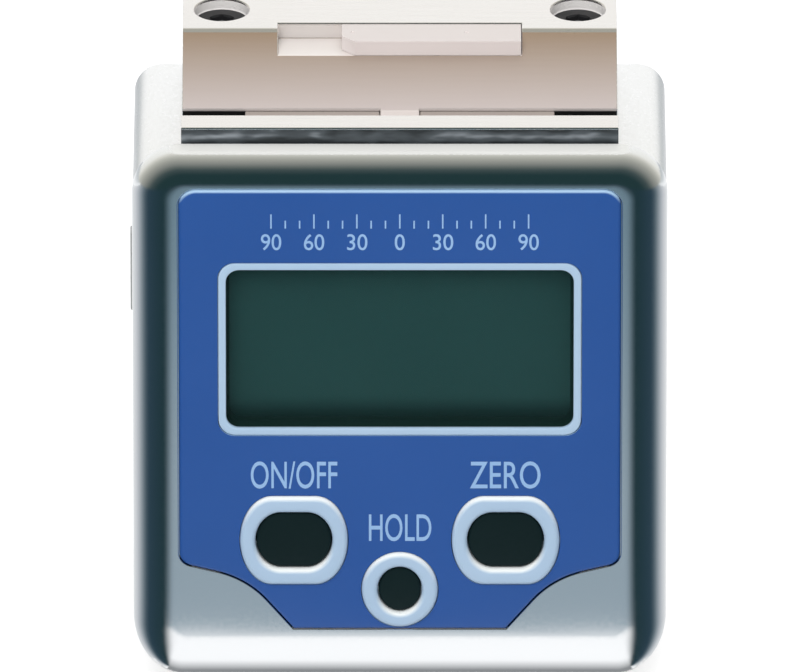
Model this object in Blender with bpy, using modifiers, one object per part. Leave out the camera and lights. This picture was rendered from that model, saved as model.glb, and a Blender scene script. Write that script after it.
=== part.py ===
"""Digital level box: a pocket inclinometer with a display, three keys, two magnetic V-groove bars and a coin
cell tray. Metres, +X right, +Y to the back, +Z up. The origin is under the middle of the box, on the lands of
the lower bar. A depth is counted backwards from the front face, a drop downwards from the cover's top."""

import math

import bmesh
import bpy
from mathutils import Matrix, Vector

# Whole object
CASE_DEPTH = 0.0360
CLEARANCE = 0.0003
FACE_CLEARANCE = 0.00015
OVERRUN = 0.0010
OVERLAP = 0.0004
WELD = 0.00001
ROUND_STEPS = 20
CORNER_STEPS = 4

# Front cover
COVER_WIDTH = 0.0500
COVER_HEIGHT = 0.0543
COVER_DEPTH = 0.0042
COVER_WALL = 0.0020
COVER_CORNER_WIDTH = 0.0046
COVER_TOP_CORNER = 0.0049
COVER_BOTTOM_CORNER = 0.0061
COVER_FACE_CORNER = 0.0012
COVER_SIDE_ROUND = 0.0040
COVER_TOP_ROUND = 0.0027
COVER_BOTTOM_ROUND = 0.0055
COVER_EDGE = 0.0002
COVER_TOP_ROUND_DEPTH = 0.0027
COVER_ROUND_STEPS = 6
COVER_SIDE_BORDER = 0.0050
COVER_END_BORDER = 0.0070
COVER_CAVITY_CORNER = 0.0010

# V-groove bars
BAR_SHOULDER = 0.0046
BAR_PROUD = 0.0015
BAR_SINK = 0.0060
BAR_END_GAP = 0.0010
BAR_FLOOR = 0.00244
NEAR_LAND = 0.0028
FAR_LAND = 0.0080
GROOVE_FLAT = 0.0032
RELIEF_WIDTH = 0.0036
RELIEF_DEPTH = 0.0008
RELIEF_WEB = 0.0037
EDGE_POCKET_INSET = 0.00895
EDGE_POCKET_DEPTH = 0.00157
EDGE_POCKET_BACK = 0.0012
EDGE_MAGNET_SHORT = 0.0057
EDGE_MAGNET_SUNK = 0.00005
SLOT_MAGNET_END_GAP = 0.00505
SLOT_MAGNET_WIDTH = 0.0028
SLOT_MAGNET_HEIGHT = 0.0011
SLOT_MAGNET_PROUD = 0.00035
SLOT_MAGNET_WEB_GAP = 0.0005

# Bar screws
BAR_SCREW_SIDE_INSET = 0.00365
BAR_SCREW_BACK_INSET = 0.0037
BAR_SCREW_HEAD_RADIUS = 0.0025
BAR_SCREW_HEAD_HEIGHT = 0.0012
BAR_SCREW_RADIUS = 0.0015
BAR_SCREW_LENGTH = 0.0100
BAR_SCREW_SUNK = 0.00015
BAR_SCREW_SOCKET = 0.0011
BAR_SCREW_SOCKET_DEPTH = 0.0010
BAR_SCREW_BOSS_RADIUS = 0.0028
BAR_SCREW_BOSS_LENGTH = 0.0016
SOCKET_SIDES = 6

# Rear case
CASE_WALL = 0.0020
CASE_CORNER = 0.0027
CASE_BACK_ROUND = 0.0007
CASE_BACK_STEPS = 3
COLUMN_RADIUS = 0.0026
COLUMN_STEPS = 7

# Cover screws, which run forward from deep holes in the back
COVER_SCREW_RADIUS = 0.0010
COVER_SCREW_HEAD_RADIUS = 0.0015
COVER_SCREW_HEAD_HEIGHT = 0.0014
COVER_SCREW_SEAT_DEPTH = 0.0090
COVER_SCREW_TIP_DEPTH = 0.0024

# Face sheet, which ends in a foot between two hollow shoulders
FACE_SET_BACK = 0.0001
FACE_THICKNESS = 0.0003
FACE_SIDE_BORDER = 0.00435
FACE_DROP = 0.0028
FACE_END_BORDER = 0.0062
FACE_CORNER = 0.0017
FACE_FOOT_HEIGHT = 0.0065
FACE_SIDE_CORNER = 0.0014
FACE_SHOULDER_RUN = 0.0025
FACE_SHOULDER_RADIUS = 0.0090
FACE_SHOULDER_SLOPE = math.radians(14)
FACE_FOOT_SLOPE = math.radians(50)

# Window: a frame with a rear ledge that carries the lens
WINDOW_SIDE_BORDER = 0.0036
KEY_FIELD_HEIGHT = 0.0200
WINDOW_CORNER = 0.0013
WINDOW_RIM = 0.0009
WINDOW_LEDGE = 0.0006
WINDOW_LEDGE_THICKNESS = 0.0003
LENS_THICKNESS = 0.0009

# Display
GLASS_SIDE_MARGIN = 0.00045
GLASS_END_MARGIN = 0.00055
GLASS_THICKNESS = 0.0011
REFLECTOR_INSET = 0.0010
REFLECTOR_THICKNESS = 0.0009
STRIP_INSET = 0.0015
STRIP_HEIGHT = 0.0015
STRIP_THICKNESS = 0.0012
HOLDER_RIM = 0.0010
HOLDER_WALL_GAP = 0.00035
HOLDER_CORNER = 0.0008

# Circuit board
BOARD_THICKNESS = 0.0012
BOARD_CORNER = 0.0010
BOARD_SCREW_RADIUS = 0.0007
BOARD_SCREW_HEAD_RADIUS = 0.0014
BOARD_SCREW_HEAD_HEIGHT = 0.0009
BOARD_SCREW_LENGTH = 0.0036
BOARD_SCREW_SIDE_INSET = 0.0021
BOARD_SCREW_END_INSET = 0.0026
BOARD_BOSS_RADIUS = 0.0017
BOARD_BOSS_GAP = 0.00055
CHIP_SIDE = 0.0070
CHIP_HEIGHT = 0.0014
CHIP_PLACE_SHARES = (0.30, -0.28)
SENSOR_SIDE = 0.0040
SENSOR_HEIGHT = 0.0011
SENSOR_PLACE_SHARES = (-0.16, 0.00)
CRYSTAL_LENGTH = 0.0062
CRYSTAL_WIDTH = 0.0022
CRYSTAL_PLACE_SHARES = (0.25, 0.22)
CAPACITOR_RADIUS = 0.0020
CAPACITOR_HEIGHT = 0.0042
CAPACITOR_PLACE_SHARES = (-0.33, -0.19)

# Key rings and keys
SIDE_KEY_SPACING_SHARE = 0.48
SIDE_KEY_RISE = 0.00925
SIDE_RING_WIDTH = 0.0101
SIDE_RING_HEIGHT = 0.0091
SIDE_RING_FLAT = 0.0040
SIDE_RING_RIM_X = 0.00145
SIDE_RING_RIM_Z = 0.00165
HOLD_KEY_RISE = 0.00415
HOLD_RING_SIZE = 0.0075
HOLD_RING_RIM = 0.0016
RING_PROUD = 0.0006
RING_DEPTH = 0.0011
KEY_RECESS = 0.0004
KEY_FLANGE_LIP = 0.0009
KEY_FLANGE_THICKNESS = 0.0006
KEY_PLUNGER_RADIUS = 0.0009
KEY_TRAVEL = 0.0005
DOME_RADIUS = 0.0019
DOME_RISE = 0.00035
DOME_WALL = 0.00015
DOME_STEPS = 4

# Battery tray, which slides out to the left
TRAY_RISE_SHARE = 0.83
TRAY_END_WALL = 0.0022
TRAY_INNER_WALL = 0.0014
TRAY_SIDE_WALL = 0.0006
TRAY_FLOOR = 0.0011
TRAY_BRIM = 0.0002
TRAY_WINDOW_RADIUS = 0.0050
NAIL_LIP_PROUD = 0.0004
NAIL_LIP_HEIGHT = 0.00825
NAIL_LIP_WIDTH = 0.0016
CELL_RADIUS = 0.0100
CELL_THICKNESS = 0.0032
CELL_CAN_STEP = 0.0008
CELL_STEP_HEIGHT = 0.0004

# Battery bay inside the case
BAY_WALL = 0.0014
BAY_EDGE_WALL = 0.0009
BAY_END_WALL = 0.0018
BAY_COLUMN_GAP = 0.0008
BAY_WINDOW_RADIUS = 0.0040
RIB_LENGTH = 0.0029
RIB_HEIGHT = 0.0015
RIB_SPACING = 0.0170
CONTACT_THICKNESS = 0.0003
CONTACT_WIDTH = 0.0030
CONTACT_FINGER = 0.0045
CONTACT_TAB = 0.0022
WIRE_RADIUS = 0.0005
WIRE_LEAD = 0.0012
WIRE_STEPS = 10
WIRE_ROUND_STEPS = 1
WIRE_PAD_OFFSET = 0.0035
WIRE_BOW = 0.0030

# Places that the sizes above give
FRONT_Y = (RING_PROUD - CASE_DEPTH) / 2
COVER_TOP = BAR_PROUD + COVER_HEIGHT
LAND_TOP = COVER_TOP + BAR_PROUD
MIDDLE_Z = LAND_TOP / 2
CASE_FRONT = COVER_DEPTH + CLEARANCE
CASE_TOP = COVER_TOP - BAR_SINK
CASE_BOTTOM = BAR_PROUD + BAR_SINK
COLUMN_X = COVER_WIDTH / 2 - CASE_CORNER
COLUMN_TOP = CASE_TOP - CASE_CORNER
COLUMN_BOTTOM = CASE_BOTTOM + CASE_CORNER
COVER_ROUND_DEPTH = COVER_DEPTH - COVER_EDGE
BAR_WIDTH = COVER_WIDTH - 2 * BAR_SHOULDER
BAR_THICKNESS = BAR_PROUD + BAR_SINK - CLEARANCE
BAR_BACK = CASE_DEPTH - BAR_END_GAP
BAR_SCREW_SPACING = BAR_WIDTH - 2 * BAR_SCREW_SIDE_INSET
BAR_SCREW_DEPTH = BAR_BACK - BAR_SCREW_BACK_INSET
GROOVE_BACK = BAR_BACK - FAR_LAND
GROOVE_HALF_WIDTH = (GROOVE_BACK - CASE_FRONT - NEAR_LAND) / 2
GROOVE_MIDDLE = GROOVE_BACK - GROOVE_HALF_WIDTH
GROOVE_FLOOR = BAR_THICKNESS - BAR_FLOOR
GROOVE_SLOPE = GROOVE_FLOOR / (GROOVE_HALF_WIDTH - GROOVE_FLAT / 2)
FACE_WIDTH = COVER_WIDTH - 2 * FACE_SIDE_BORDER
FACE_BOTTOM = BAR_PROUD + FACE_END_BORDER
HOLDER_DROP = BAR_SINK + CASE_WALL + HOLDER_WALL_GAP
GLASS_DROP = HOLDER_DROP + HOLDER_RIM + CLEARANCE
WINDOW_DROP = GLASS_DROP + GLASS_END_MARGIN
WINDOW_WIDTH = FACE_WIDTH - 2 * WINDOW_SIDE_BORDER
WINDOW_HEIGHT = COVER_HEIGHT - WINDOW_DROP - KEY_FIELD_HEIGHT - FACE_END_BORDER
WINDOW_Z = COVER_TOP - WINDOW_DROP - WINDOW_HEIGHT / 2
GLASS_WIDTH = WINDOW_WIDTH + 2 * GLASS_SIDE_MARGIN
GLASS_HEIGHT = WINDOW_HEIGHT + 2 * GLASS_END_MARGIN
HOLDER_WIDTH = GLASS_WIDTH + 2 * (CLEARANCE + HOLDER_RIM)
HOLDER_HEIGHT = GLASS_HEIGHT + 2 * (CLEARANCE + HOLDER_RIM)
GLASS_FRONT = COVER_WALL + CLEARANCE
STRIP_FRONT = GLASS_FRONT + GLASS_THICKNESS + CLEARANCE
STRIP_BACK = STRIP_FRONT + STRIP_THICKNESS
BOARD_DEPTH = STRIP_BACK + CLEARANCE
BOARD_WIDTH = 2 * (COLUMN_X - COLUMN_RADIUS - 2 * CLEARANCE)
BOARD_HEIGHT = CASE_TOP - CASE_BOTTOM - 2 * CASE_WALL - 2 * CLEARANCE
BOARD_SCREW_X = BOARD_WIDTH / 2 - BOARD_SCREW_SIDE_INSET
BOARD_SCREW_TOP = WINDOW_Z - HOLDER_HEIGHT / 2 - BOARD_BOSS_GAP - BOARD_BOSS_RADIUS
BOARD_SCREW_BOTTOM = MIDDLE_Z - BOARD_HEIGHT / 2 + BOARD_SCREW_END_INSET
TRAY_LEFT = -COVER_WIDTH / 2
TRAY_LENGTH = TRAY_END_WALL + 2 * (CELL_RADIUS + CLEARANCE) + TRAY_INNER_WALL
TRAY_HEIGHT = 2 * (CELL_RADIUS + CLEARANCE + TRAY_SIDE_WALL)
TRAY_THICKNESS = TRAY_FLOOR + CLEARANCE + CELL_THICKNESS + TRAY_BRIM
TRAY_ROOM = COLUMN_TOP - COLUMN_BOTTOM - 2 * COLUMN_RADIUS - TRAY_HEIGHT - 2 * CLEARANCE
TRAY_Z = MIDDLE_Z + TRAY_RISE_SHARE * TRAY_ROOM / 2
TRAY_BACK = CASE_DEPTH - CASE_WALL - RIB_LENGTH - BAY_WALL - CLEARANCE
TRAY_FRONT = TRAY_BACK - TRAY_THICKNESS
TRAY_MIDDLE_DEPTH = (TRAY_FRONT + TRAY_BACK) / 2
BAY_LEFT = TRAY_LEFT + CASE_CORNER + COLUMN_RADIUS + BAY_COLUMN_GAP
CELL_X = TRAY_LEFT + TRAY_END_WALL + CELL_RADIUS + CLEARANCE
SHARP_ANGLE = math.radians(30)

PLANES = {
    "X": (Vector((0, 1, 0)), Vector((0, 0, 1))),
    "Y": (Vector((1, 0, 0)), Vector((0, 0, 1))),
    "Z": (Vector((1, 0, 0)), Vector((0, 1, 0))),
}
FORWARD = Vector((0, -1, 0))
UP = Vector((0, 0, 1))

for old in list(bpy.data.objects):
    bpy.data.objects.remove(old)
level_box = bpy.data.collections.new("digital_level_box")
cutters = bpy.data.collections.new("cutters")
bpy.context.scene.collection.children.link(level_box)
bpy.context.scene.collection.children.link(cutters)


def depth(behind_face):
    return FRONT_Y + behind_face


def drop(below_top):
    return COVER_TOP - below_top


def finish(name, colour, roughness, metallic=0.0):
    surface = bpy.data.materials.new(name)
    surface.use_nodes = True
    shader = surface.node_tree.nodes["Principled BSDF"]
    shader.inputs["Base Color"].default_value = (*colour, 1.0)
    shader.inputs["Roughness"].default_value = roughness
    shader.inputs["Metallic"].default_value = metallic
    surface.diffuse_color = (*colour, 1.0)
    return surface


SATIN_SILVER = finish("satin_silver", (0.62, 0.66, 0.69), 0.28, 0.9)
CASE_SILVER = finish("case_silver", (0.55, 0.58, 0.60), 0.42, 0.6)
GROUND_STEEL = finish("ground_steel", (0.66, 0.63, 0.60), 0.24, 1.0)
MAGNET_NICKEL = finish("magnet_nickel", (0.72, 0.70, 0.67), 0.18, 1.0)
BLACK_STEEL = finish("black_steel", (0.03, 0.03, 0.035), 0.35, 0.8)
BRIGHT_STEEL = finish("bright_steel", (0.60, 0.60, 0.60), 0.30, 1.0)
BLUE_PRINT = finish("blue_print", (0.03, 0.12, 0.42), 0.40)
PALE_BLUE = finish("pale_blue", (0.50, 0.62, 0.78), 0.35)
CLEAR_LENS = finish("clear_lens", (0.75, 0.85, 0.82), 0.05)
DISPLAY_GREEN = finish("display_green", (0.03, 0.07, 0.06), 0.12)
DISPLAY_WHITE = finish("display_white", (0.60, 0.66, 0.58), 0.55)
BLACK_PLASTIC = finish("black_plastic", (0.012, 0.016, 0.018), 0.45)
BLACK_RUBBER = finish("black_rubber", (0.02, 0.02, 0.02), 0.75)
BOARD_GREEN = finish("board_green", (0.02, 0.16, 0.06), 0.45)
SPRING_METAL = finish("spring_metal", (0.75, 0.66, 0.40), 0.30, 1.0)
WIRE_RED = finish("wire_red", (0.45, 0.02, 0.02), 0.50)
WIRE_BLACK = finish("wire_black", (0.02, 0.02, 0.02), 0.50)


def arc(centre, radii, start, end, steps):
    """Points on an ellipse about a centre, from one angle to another, in degrees."""
    angles = [math.radians(start + (end - start) * step / steps) for step in range(steps + 1)]
    return [(centre[0] + radii[0] * math.cos(a), centre[1] + radii[1] * math.sin(a)) for a in angles]


def circle(radius):
    return arc((0, 0), (radius, radius), 0, 360, ROUND_STEPS)[:-1]


def rectangle(width, height):
    x, y = width / 2, height / 2
    return [(-x, -y), (x, -y), (x, y), (-x, y)]


def rounded(width, height, corner):
    """A rectangle about zero with round corners."""
    x, y = width / 2 - corner, height / 2 - corner
    points = []
    for start, middle in ((0, (x, y)), (90, (-x, y)), (180, (-x, -y)), (270, (x, -y))):
        points += arc(middle, (corner, corner), start, start + 90, CORNER_STEPS)
    return points


def key_shape(width, height, flat):
    """A level top and bottom joined by two half ellipses; a circle where there is no flat."""
    radii = ((width - flat) / 2, height / 2)
    right = arc((flat / 2, 0), radii, -90, 90, ROUND_STEPS // 2)
    left = arc((-flat / 2, 0), radii, 90, 270, ROUND_STEPS // 2)
    return right + left


def add(name, mesh, surface, matrix):
    """Puts a mesh in the scene: as a piece with a surface, or as a cutter without one."""
    piece = bpy.data.objects.new(name, mesh)
    piece.matrix_world = matrix
    if surface is None:
        cutters.objects.link(piece)
        piece.hide_render = True
        piece.display_type = "WIRE"
    else:
        level_box.objects.link(piece)
        mesh.materials.clear()
        mesh.materials.append(surface)
    return piece


def as_closed_mesh(name, curve):
    """The mesh of a curve, with its loose caps welded on and its faces turned outwards."""
    source = bpy.data.objects.new(name, curve)
    cutters.objects.link(source)
    bpy.context.view_layer.update()
    mesh = bpy.data.meshes.new_from_object(source.evaluated_get(bpy.context.evaluated_depsgraph_get()))
    bpy.data.objects.remove(source)
    shape = bmesh.new()
    shape.from_mesh(mesh)
    bmesh.ops.remove_doubles(shape, verts=shape.verts, dist=WELD)
    bmesh.ops.recalc_face_normals(shape, faces=shape.faces)
    shape.to_mesh(mesh)
    shape.free()
    mesh.name = name
    return mesh


def slab(name, axis, near, far, outlines, surface=None, place=(0, 0)):
    """A flat outline, with holes in it if more are given, that runs along an axis from near to far. The two
    numbers of a point and of the place are the other two axes in X, Y, Z order."""
    curve = bpy.data.curves.new(name, "CURVE")
    curve.dimensions = "2D"
    curve.fill_mode = "BOTH"
    curve.extrude = (far - near) / 2
    for outline in outlines:
        spline = curve.splines.new("POLY")
        spline.points.add(len(outline) - 1)
        spline.use_cyclic_u = True
        for point, (across, up) in zip(spline.points, outline):
            point.co = (across, up, 0, 1)
    across, up = PLANES[axis]
    turn = Matrix((across, up, across.cross(up))).transposed().to_4x4()
    middle = across * place[0] + up * place[1]
    middle["XYZ".index(axis)] = (near + far) / 2
    return add(name, as_closed_mesh(name, curve), surface, Matrix.Translation(middle) @ turn)


def turned(name, profile, place, direction, surface=None):
    """A profile of radius and height pairs, from its top down, turned about a line through the place."""
    mesh = bpy.data.meshes.new(name)
    edges = [(i, i + 1) for i in range(len(profile) - 1)]
    mesh.from_pydata([(radius, 0, height) for radius, height in profile], edges, [])
    turn = UP.rotation_difference(direction).to_matrix().to_4x4()
    piece = add(name, mesh, surface, Matrix.Translation(place) @ turn)
    screw = piece.modifiers.new("turn", "SCREW")
    screw.steps = ROUND_STEPS
    screw.render_steps = ROUND_STEPS
    screw.use_merge_vertices = True
    screw.merge_threshold = WELD
    screw.use_smooth_shade = True
    return piece


def loft(name, sections, surface):
    """A closed skin through a row of outlines that have the same count of points."""
    shape = bmesh.new()
    rings = [[shape.verts.new(point) for point in section] for section in sections]
    for near, far in zip(rings, rings[1:]):
        for i in range(len(near)):
            shape.faces.new((near[i - 1], near[i], far[i], far[i - 1]))
    bmesh.ops.triangulate(shape, faces=shape.faces)
    shape.faces.new(rings[0])
    shape.faces.new(rings[-1])
    bmesh.ops.recalc_face_normals(shape, faces=shape.faces)
    mesh = bpy.data.meshes.new(name)
    shape.to_mesh(mesh)
    shape.free()
    return add(name, mesh, surface, Matrix.Identity(4))


def combine(piece, tool, operation):
    step = piece.modifiers.new(tool.name, "BOOLEAN")
    step.operation = operation
    step.solver = "EXACT"
    step.object = tool


def cut(piece, tool):
    combine(piece, tool, "DIFFERENCE")


def join(piece, tool):
    combine(piece, tool, "UNION")


def corners(spacing_x, low, high):
    """The names and places of four fasteners in a rectangle."""
    for level, z in (("bottom", low), ("top", high)):
        for side, x in (("left", -spacing_x), ("right", spacing_x)):
            yield f"{level}_{side}", x, z


def cover_section(behind_face):
    """The cover's outline at a depth: each edge draws in towards the face along a quarter ellipse."""

    def drawn_in(width, reach):
        share = max(0, 1 - behind_face / reach)
        return width * (1 - math.sqrt(1 - share**2))

    side = drawn_in(COVER_SIDE_ROUND, COVER_ROUND_DEPTH)
    full_share = 1 - side / COVER_SIDE_ROUND
    right = COVER_WIDTH / 2 - side
    top = COVER_TOP - drawn_in(COVER_TOP_ROUND, COVER_TOP_ROUND_DEPTH)
    bottom = BAR_PROUD + drawn_in(COVER_BOTTOM_ROUND, COVER_ROUND_DEPTH)

    def corner(full):
        return COVER_FACE_CORNER + (full - COVER_FACE_CORNER) * full_share

    width = corner(COVER_CORNER_WIDTH)
    upper = corner(COVER_TOP_CORNER)
    lower = corner(COVER_BOTTOM_CORNER)
    steps = COVER_ROUND_STEPS
    outline = arc((right - width, top - upper), (width, upper), 0, 90, steps)
    outline += arc((width - right, top - upper), (width, upper), 90, 180, steps)
    outline += arc((width - right, bottom + lower), (width, lower), 180, 270, steps)
    outline += arc((right - width, bottom + lower), (width, lower), 270, 360, steps)
    return [(x, depth(behind_face), z) for x, z in outline]


def face_outline(grow):
    """The face sheet's outline, grown all round: round top corners, straight sides, then on each side a gently
    falling shoulder that turns down into the foot."""
    right = FACE_WIDTH / 2
    top = drop(FACE_DROP)
    shoulder = FACE_BOTTOM + FACE_FOOT_HEIGHT
    bottom = FACE_BOTTOM - grow
    corner = FACE_CORNER + grow
    side = FACE_SIDE_CORNER + grow
    radius = FACE_SHOULDER_RADIUS - grow
    slope, foot = FACE_SHOULDER_SLOPE, FACE_FOOT_SLOPE
    side_x, side_z = right - FACE_SIDE_CORNER, shoulder + FACE_SIDE_CORNER
    along = FACE_SIDE_CORNER + FACE_SHOULDER_RADIUS
    turn_x = side_x + along * math.sin(slope) - FACE_SHOULDER_RUN * math.cos(slope)
    turn_z = side_z - along * math.cos(slope) - FACE_SHOULDER_RUN * math.sin(slope)
    level = math.degrees(slope)
    half = arc((right - FACE_CORNER, top - FACE_CORNER), (corner, corner), 90, 0, CORNER_STEPS)
    half += arc((side_x, side_z), (side, side), 0, level - 90, CORNER_STEPS)
    half += arc((turn_x, turn_z), (radius, radius), 90 + level, 90 + math.degrees(foot), CORNER_STEPS)
    x, z = half[-1]
    half.append((x - (z - bottom) / math.tan(foot), bottom))
    return half + [(-x, z) for x, z in reversed(half)]


class Key:
    """The sizes and the place of one key and of the ring round it."""

    def __init__(self, name, x, rise, width, height, flat, rim_x, rim_z):
        self.name = name
        self.place = (x, FACE_BOTTOM + rise)
        self.size = (width, height, flat)
        self.opening = (width - 2 * rim_x, height - 2 * rim_z, flat)

    def ring_outline(self, grow=0.0):
        width, height, flat = self.size
        return key_shape(width + 2 * grow, height + 2 * grow, flat)

    def opening_outline(self, grow=0.0):
        width, height, flat = self.opening
        return key_shape(width + 2 * grow, height + 2 * grow, flat)


SIDE_KEY_X = FACE_WIDTH * SIDE_KEY_SPACING_SHARE / 2
SIDE_RING = (SIDE_RING_WIDTH, SIDE_RING_HEIGHT, SIDE_RING_FLAT, SIDE_RING_RIM_X, SIDE_RING_RIM_Z)
HOLD_RING = (HOLD_RING_SIZE, HOLD_RING_SIZE, 0, HOLD_RING_RIM, HOLD_RING_RIM)
KEYS = (
    Key("onoff", -SIDE_KEY_X, SIDE_KEY_RISE, *SIDE_RING),
    Key("hold", 0, HOLD_KEY_RISE, *HOLD_RING),
    Key("zero", SIDE_KEY_X, SIDE_KEY_RISE, *SIDE_RING),
)


def make_front_cover():
    """The moulded front: a pillowed frame with a recess for the face sheet, and screw bosses behind."""
    reaches = [COVER_ROUND_DEPTH * (1 - math.cos(math.radians(90 * i / COVER_ROUND_STEPS)))
               for i in range(COVER_ROUND_STEPS + 1)]
    cover = loft("front_cover", [cover_section(reach) for reach in reaches + [COVER_DEPTH]], SATIN_SILVER)
    inside = rounded(COVER_WIDTH - 2 * COVER_SIDE_BORDER, COVER_HEIGHT - 2 * COVER_END_BORDER,
                     COVER_CAVITY_CORNER)
    cut(cover, slab("cover_cavity", "Y", depth(COVER_WALL), depth(COVER_DEPTH + OVERRUN), [inside],
                    place=(0, MIDDLE_Z)))
    recess_depth = FACE_SET_BACK + FACE_THICKNESS + CLEARANCE
    cut(cover, slab("face_recess", "Y", depth(-OVERRUN), depth(recess_depth),
                    [face_outline(FACE_CLEARANCE)]))
    hole = rounded(WINDOW_WIDTH + 2 * CLEARANCE, WINDOW_HEIGHT + 2 * CLEARANCE, WINDOW_CORNER + CLEARANCE)
    cut(cover, slab("window_hole", "Y", depth(-OVERRUN), depth(COVER_WALL + OVERRUN), [hole],
                    place=(0, WINDOW_Z)))
    for key in KEYS:
        seat = slab(f"{key.name}_ring_seat", "Y", depth(-OVERRUN), depth(RING_DEPTH + CLEARANCE),
                    [key.ring_outline(CLEARANCE)], place=key.place)
        passage = slab(f"{key.name}_key_hole", "Y", depth(-OVERRUN), depth(COVER_WALL + OVERRUN),
                       [key.opening_outline()], place=key.place)
        cut(cover, seat)
        cut(cover, passage)
    for name, x, z in corners(COLUMN_X, COLUMN_BOTTOM, COLUMN_TOP):
        cut(cover, slab(f"cover_pilot_{name}", "Y", depth(COVER_SCREW_TIP_DEPTH - CLEARANCE),
                        depth(COVER_DEPTH + OVERRUN), [circle(COVER_SCREW_RADIUS + CLEARANCE)], place=(x, z)))
    for name, x, z in corners(BOARD_SCREW_X, BOARD_SCREW_BOTTOM, BOARD_SCREW_TOP):
        join(cover, slab(f"board_boss_{name}", "Y", depth(COVER_WALL - OVERLAP), depth(STRIP_BACK),
                         [circle(BOARD_BOSS_RADIUS)], place=(x, z)))
        cut(cover, slab(f"board_pilot_{name}", "Y", depth(COVER_WALL + OVERLAP), depth(BOARD_DEPTH + OVERRUN),
                        [circle(BOARD_SCREW_RADIUS + CLEARANCE)], place=(x, z)))


def case_cavity():
    """The inside of the case: a rectangle whose corners give way to the round screw columns."""
    right = COVER_WIDTH / 2 - CASE_WALL
    top = CASE_TOP - CASE_WALL
    bite = math.degrees(math.acos((right - COLUMN_X) / COLUMN_RADIUS))
    lift = math.degrees(math.asin((top - COLUMN_TOP) / COLUMN_RADIUS))
    radii = (COLUMN_RADIUS, COLUMN_RADIUS)
    quarter = arc((COLUMN_X, COLUMN_TOP - MIDDLE_Z), radii, -bite, -180 - lift, COLUMN_STEPS)
    upper = quarter + [(-x, z) for x, z in reversed(quarter)]
    return upper + [(x, -z) for x, z in reversed(upper)]


def make_rear_case():
    """The shell: five walls, a column at each corner, bosses for the bar screws and a slot for the tray."""
    height = CASE_TOP - CASE_BOTTOM
    rounding = arc((CASE_BACK_ROUND, CASE_DEPTH - CASE_BACK_ROUND), (-CASE_BACK_ROUND, CASE_BACK_ROUND), 0, 90,
                   CASE_BACK_STEPS)
    sections = []
    for inset, behind_face in [(0, CASE_FRONT)] + rounding:
        outline = rounded(COVER_WIDTH - 2 * inset, height - 2 * inset, CASE_CORNER - inset)
        sections.append([(x, depth(behind_face), MIDDLE_Z + z) for x, z in outline])
    case = loft("rear_case", sections, CASE_SILVER)
    floor = CASE_DEPTH - CASE_WALL
    cut(case, slab("case_cavity", "Y", depth(CASE_FRONT - OVERRUN), depth(floor), [case_cavity()],
                   place=(0, MIDDLE_Z)))
    slot = rectangle(TRAY_THICKNESS + 2 * CLEARANCE, TRAY_HEIGHT + 2 * CLEARANCE)
    cut(case, slab("tray_slot", "X", -COVER_WIDTH / 2 - OVERRUN, OVERRUN - COVER_WIDTH / 2 + CASE_WALL, [slot],
                   place=(depth(TRAY_MIDDLE_DEPTH), TRAY_Z)))
    for name, x, z in corners(COLUMN_X, COLUMN_BOTTOM, COLUMN_TOP):
        behind = depth(CASE_DEPTH + OVERRUN)
        cut(case, slab(f"cover_screw_hole_{name}", "Y", depth(CASE_FRONT - OVERRUN), behind,
                       [circle(COVER_SCREW_RADIUS + CLEARANCE)], place=(x, z)))
        cut(case, slab(f"cover_screw_well_{name}", "Y", depth(COVER_SCREW_SEAT_DEPTH), behind,
                       [circle(COVER_SCREW_HEAD_RADIUS + CLEARANCE)], place=(x, z)))
    for side, z in (("lower", TRAY_Z - RIB_SPACING / 2), ("upper", TRAY_Z + RIB_SPACING / 2)):
        right = TRAY_LEFT + TRAY_LENGTH
        join(case, slab(f"bay_rib_{side}", "Y", depth(floor - RIB_LENGTH + CLEARANCE), depth(floor + OVERLAP),
                        [rectangle(right - BAY_LEFT, RIB_HEIGHT)], place=((BAY_LEFT + right) / 2, z)))
    for side, x in (("left", -BAR_SCREW_SPACING / 2), ("right", BAR_SCREW_SPACING / 2)):
        for level, wall, way in (("top", CASE_TOP, -1), ("bottom", CASE_BOTTOM, 1)):
            root = wall + way * (CASE_WALL - OVERLAP)
            tip = wall + way * (CASE_WALL + BAR_SCREW_BOSS_LENGTH)
            place = (x, depth(BAR_SCREW_DEPTH))
            boss = slab(f"bar_boss_{level}_{side}", "Z", min(root, tip), max(root, tip),
                        [circle(BAR_SCREW_BOSS_RADIUS)], place=place)
            outside = wall - way * OVERRUN
            end = tip + way * OVERRUN
            hole = slab(f"bar_screw_hole_{level}_{side}", "Z", min(outside, end), max(outside, end),
                        [circle(BAR_SCREW_RADIUS + CLEARANCE)], place=place)
            join(case, boss)
            cut(case, hole)


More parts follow.
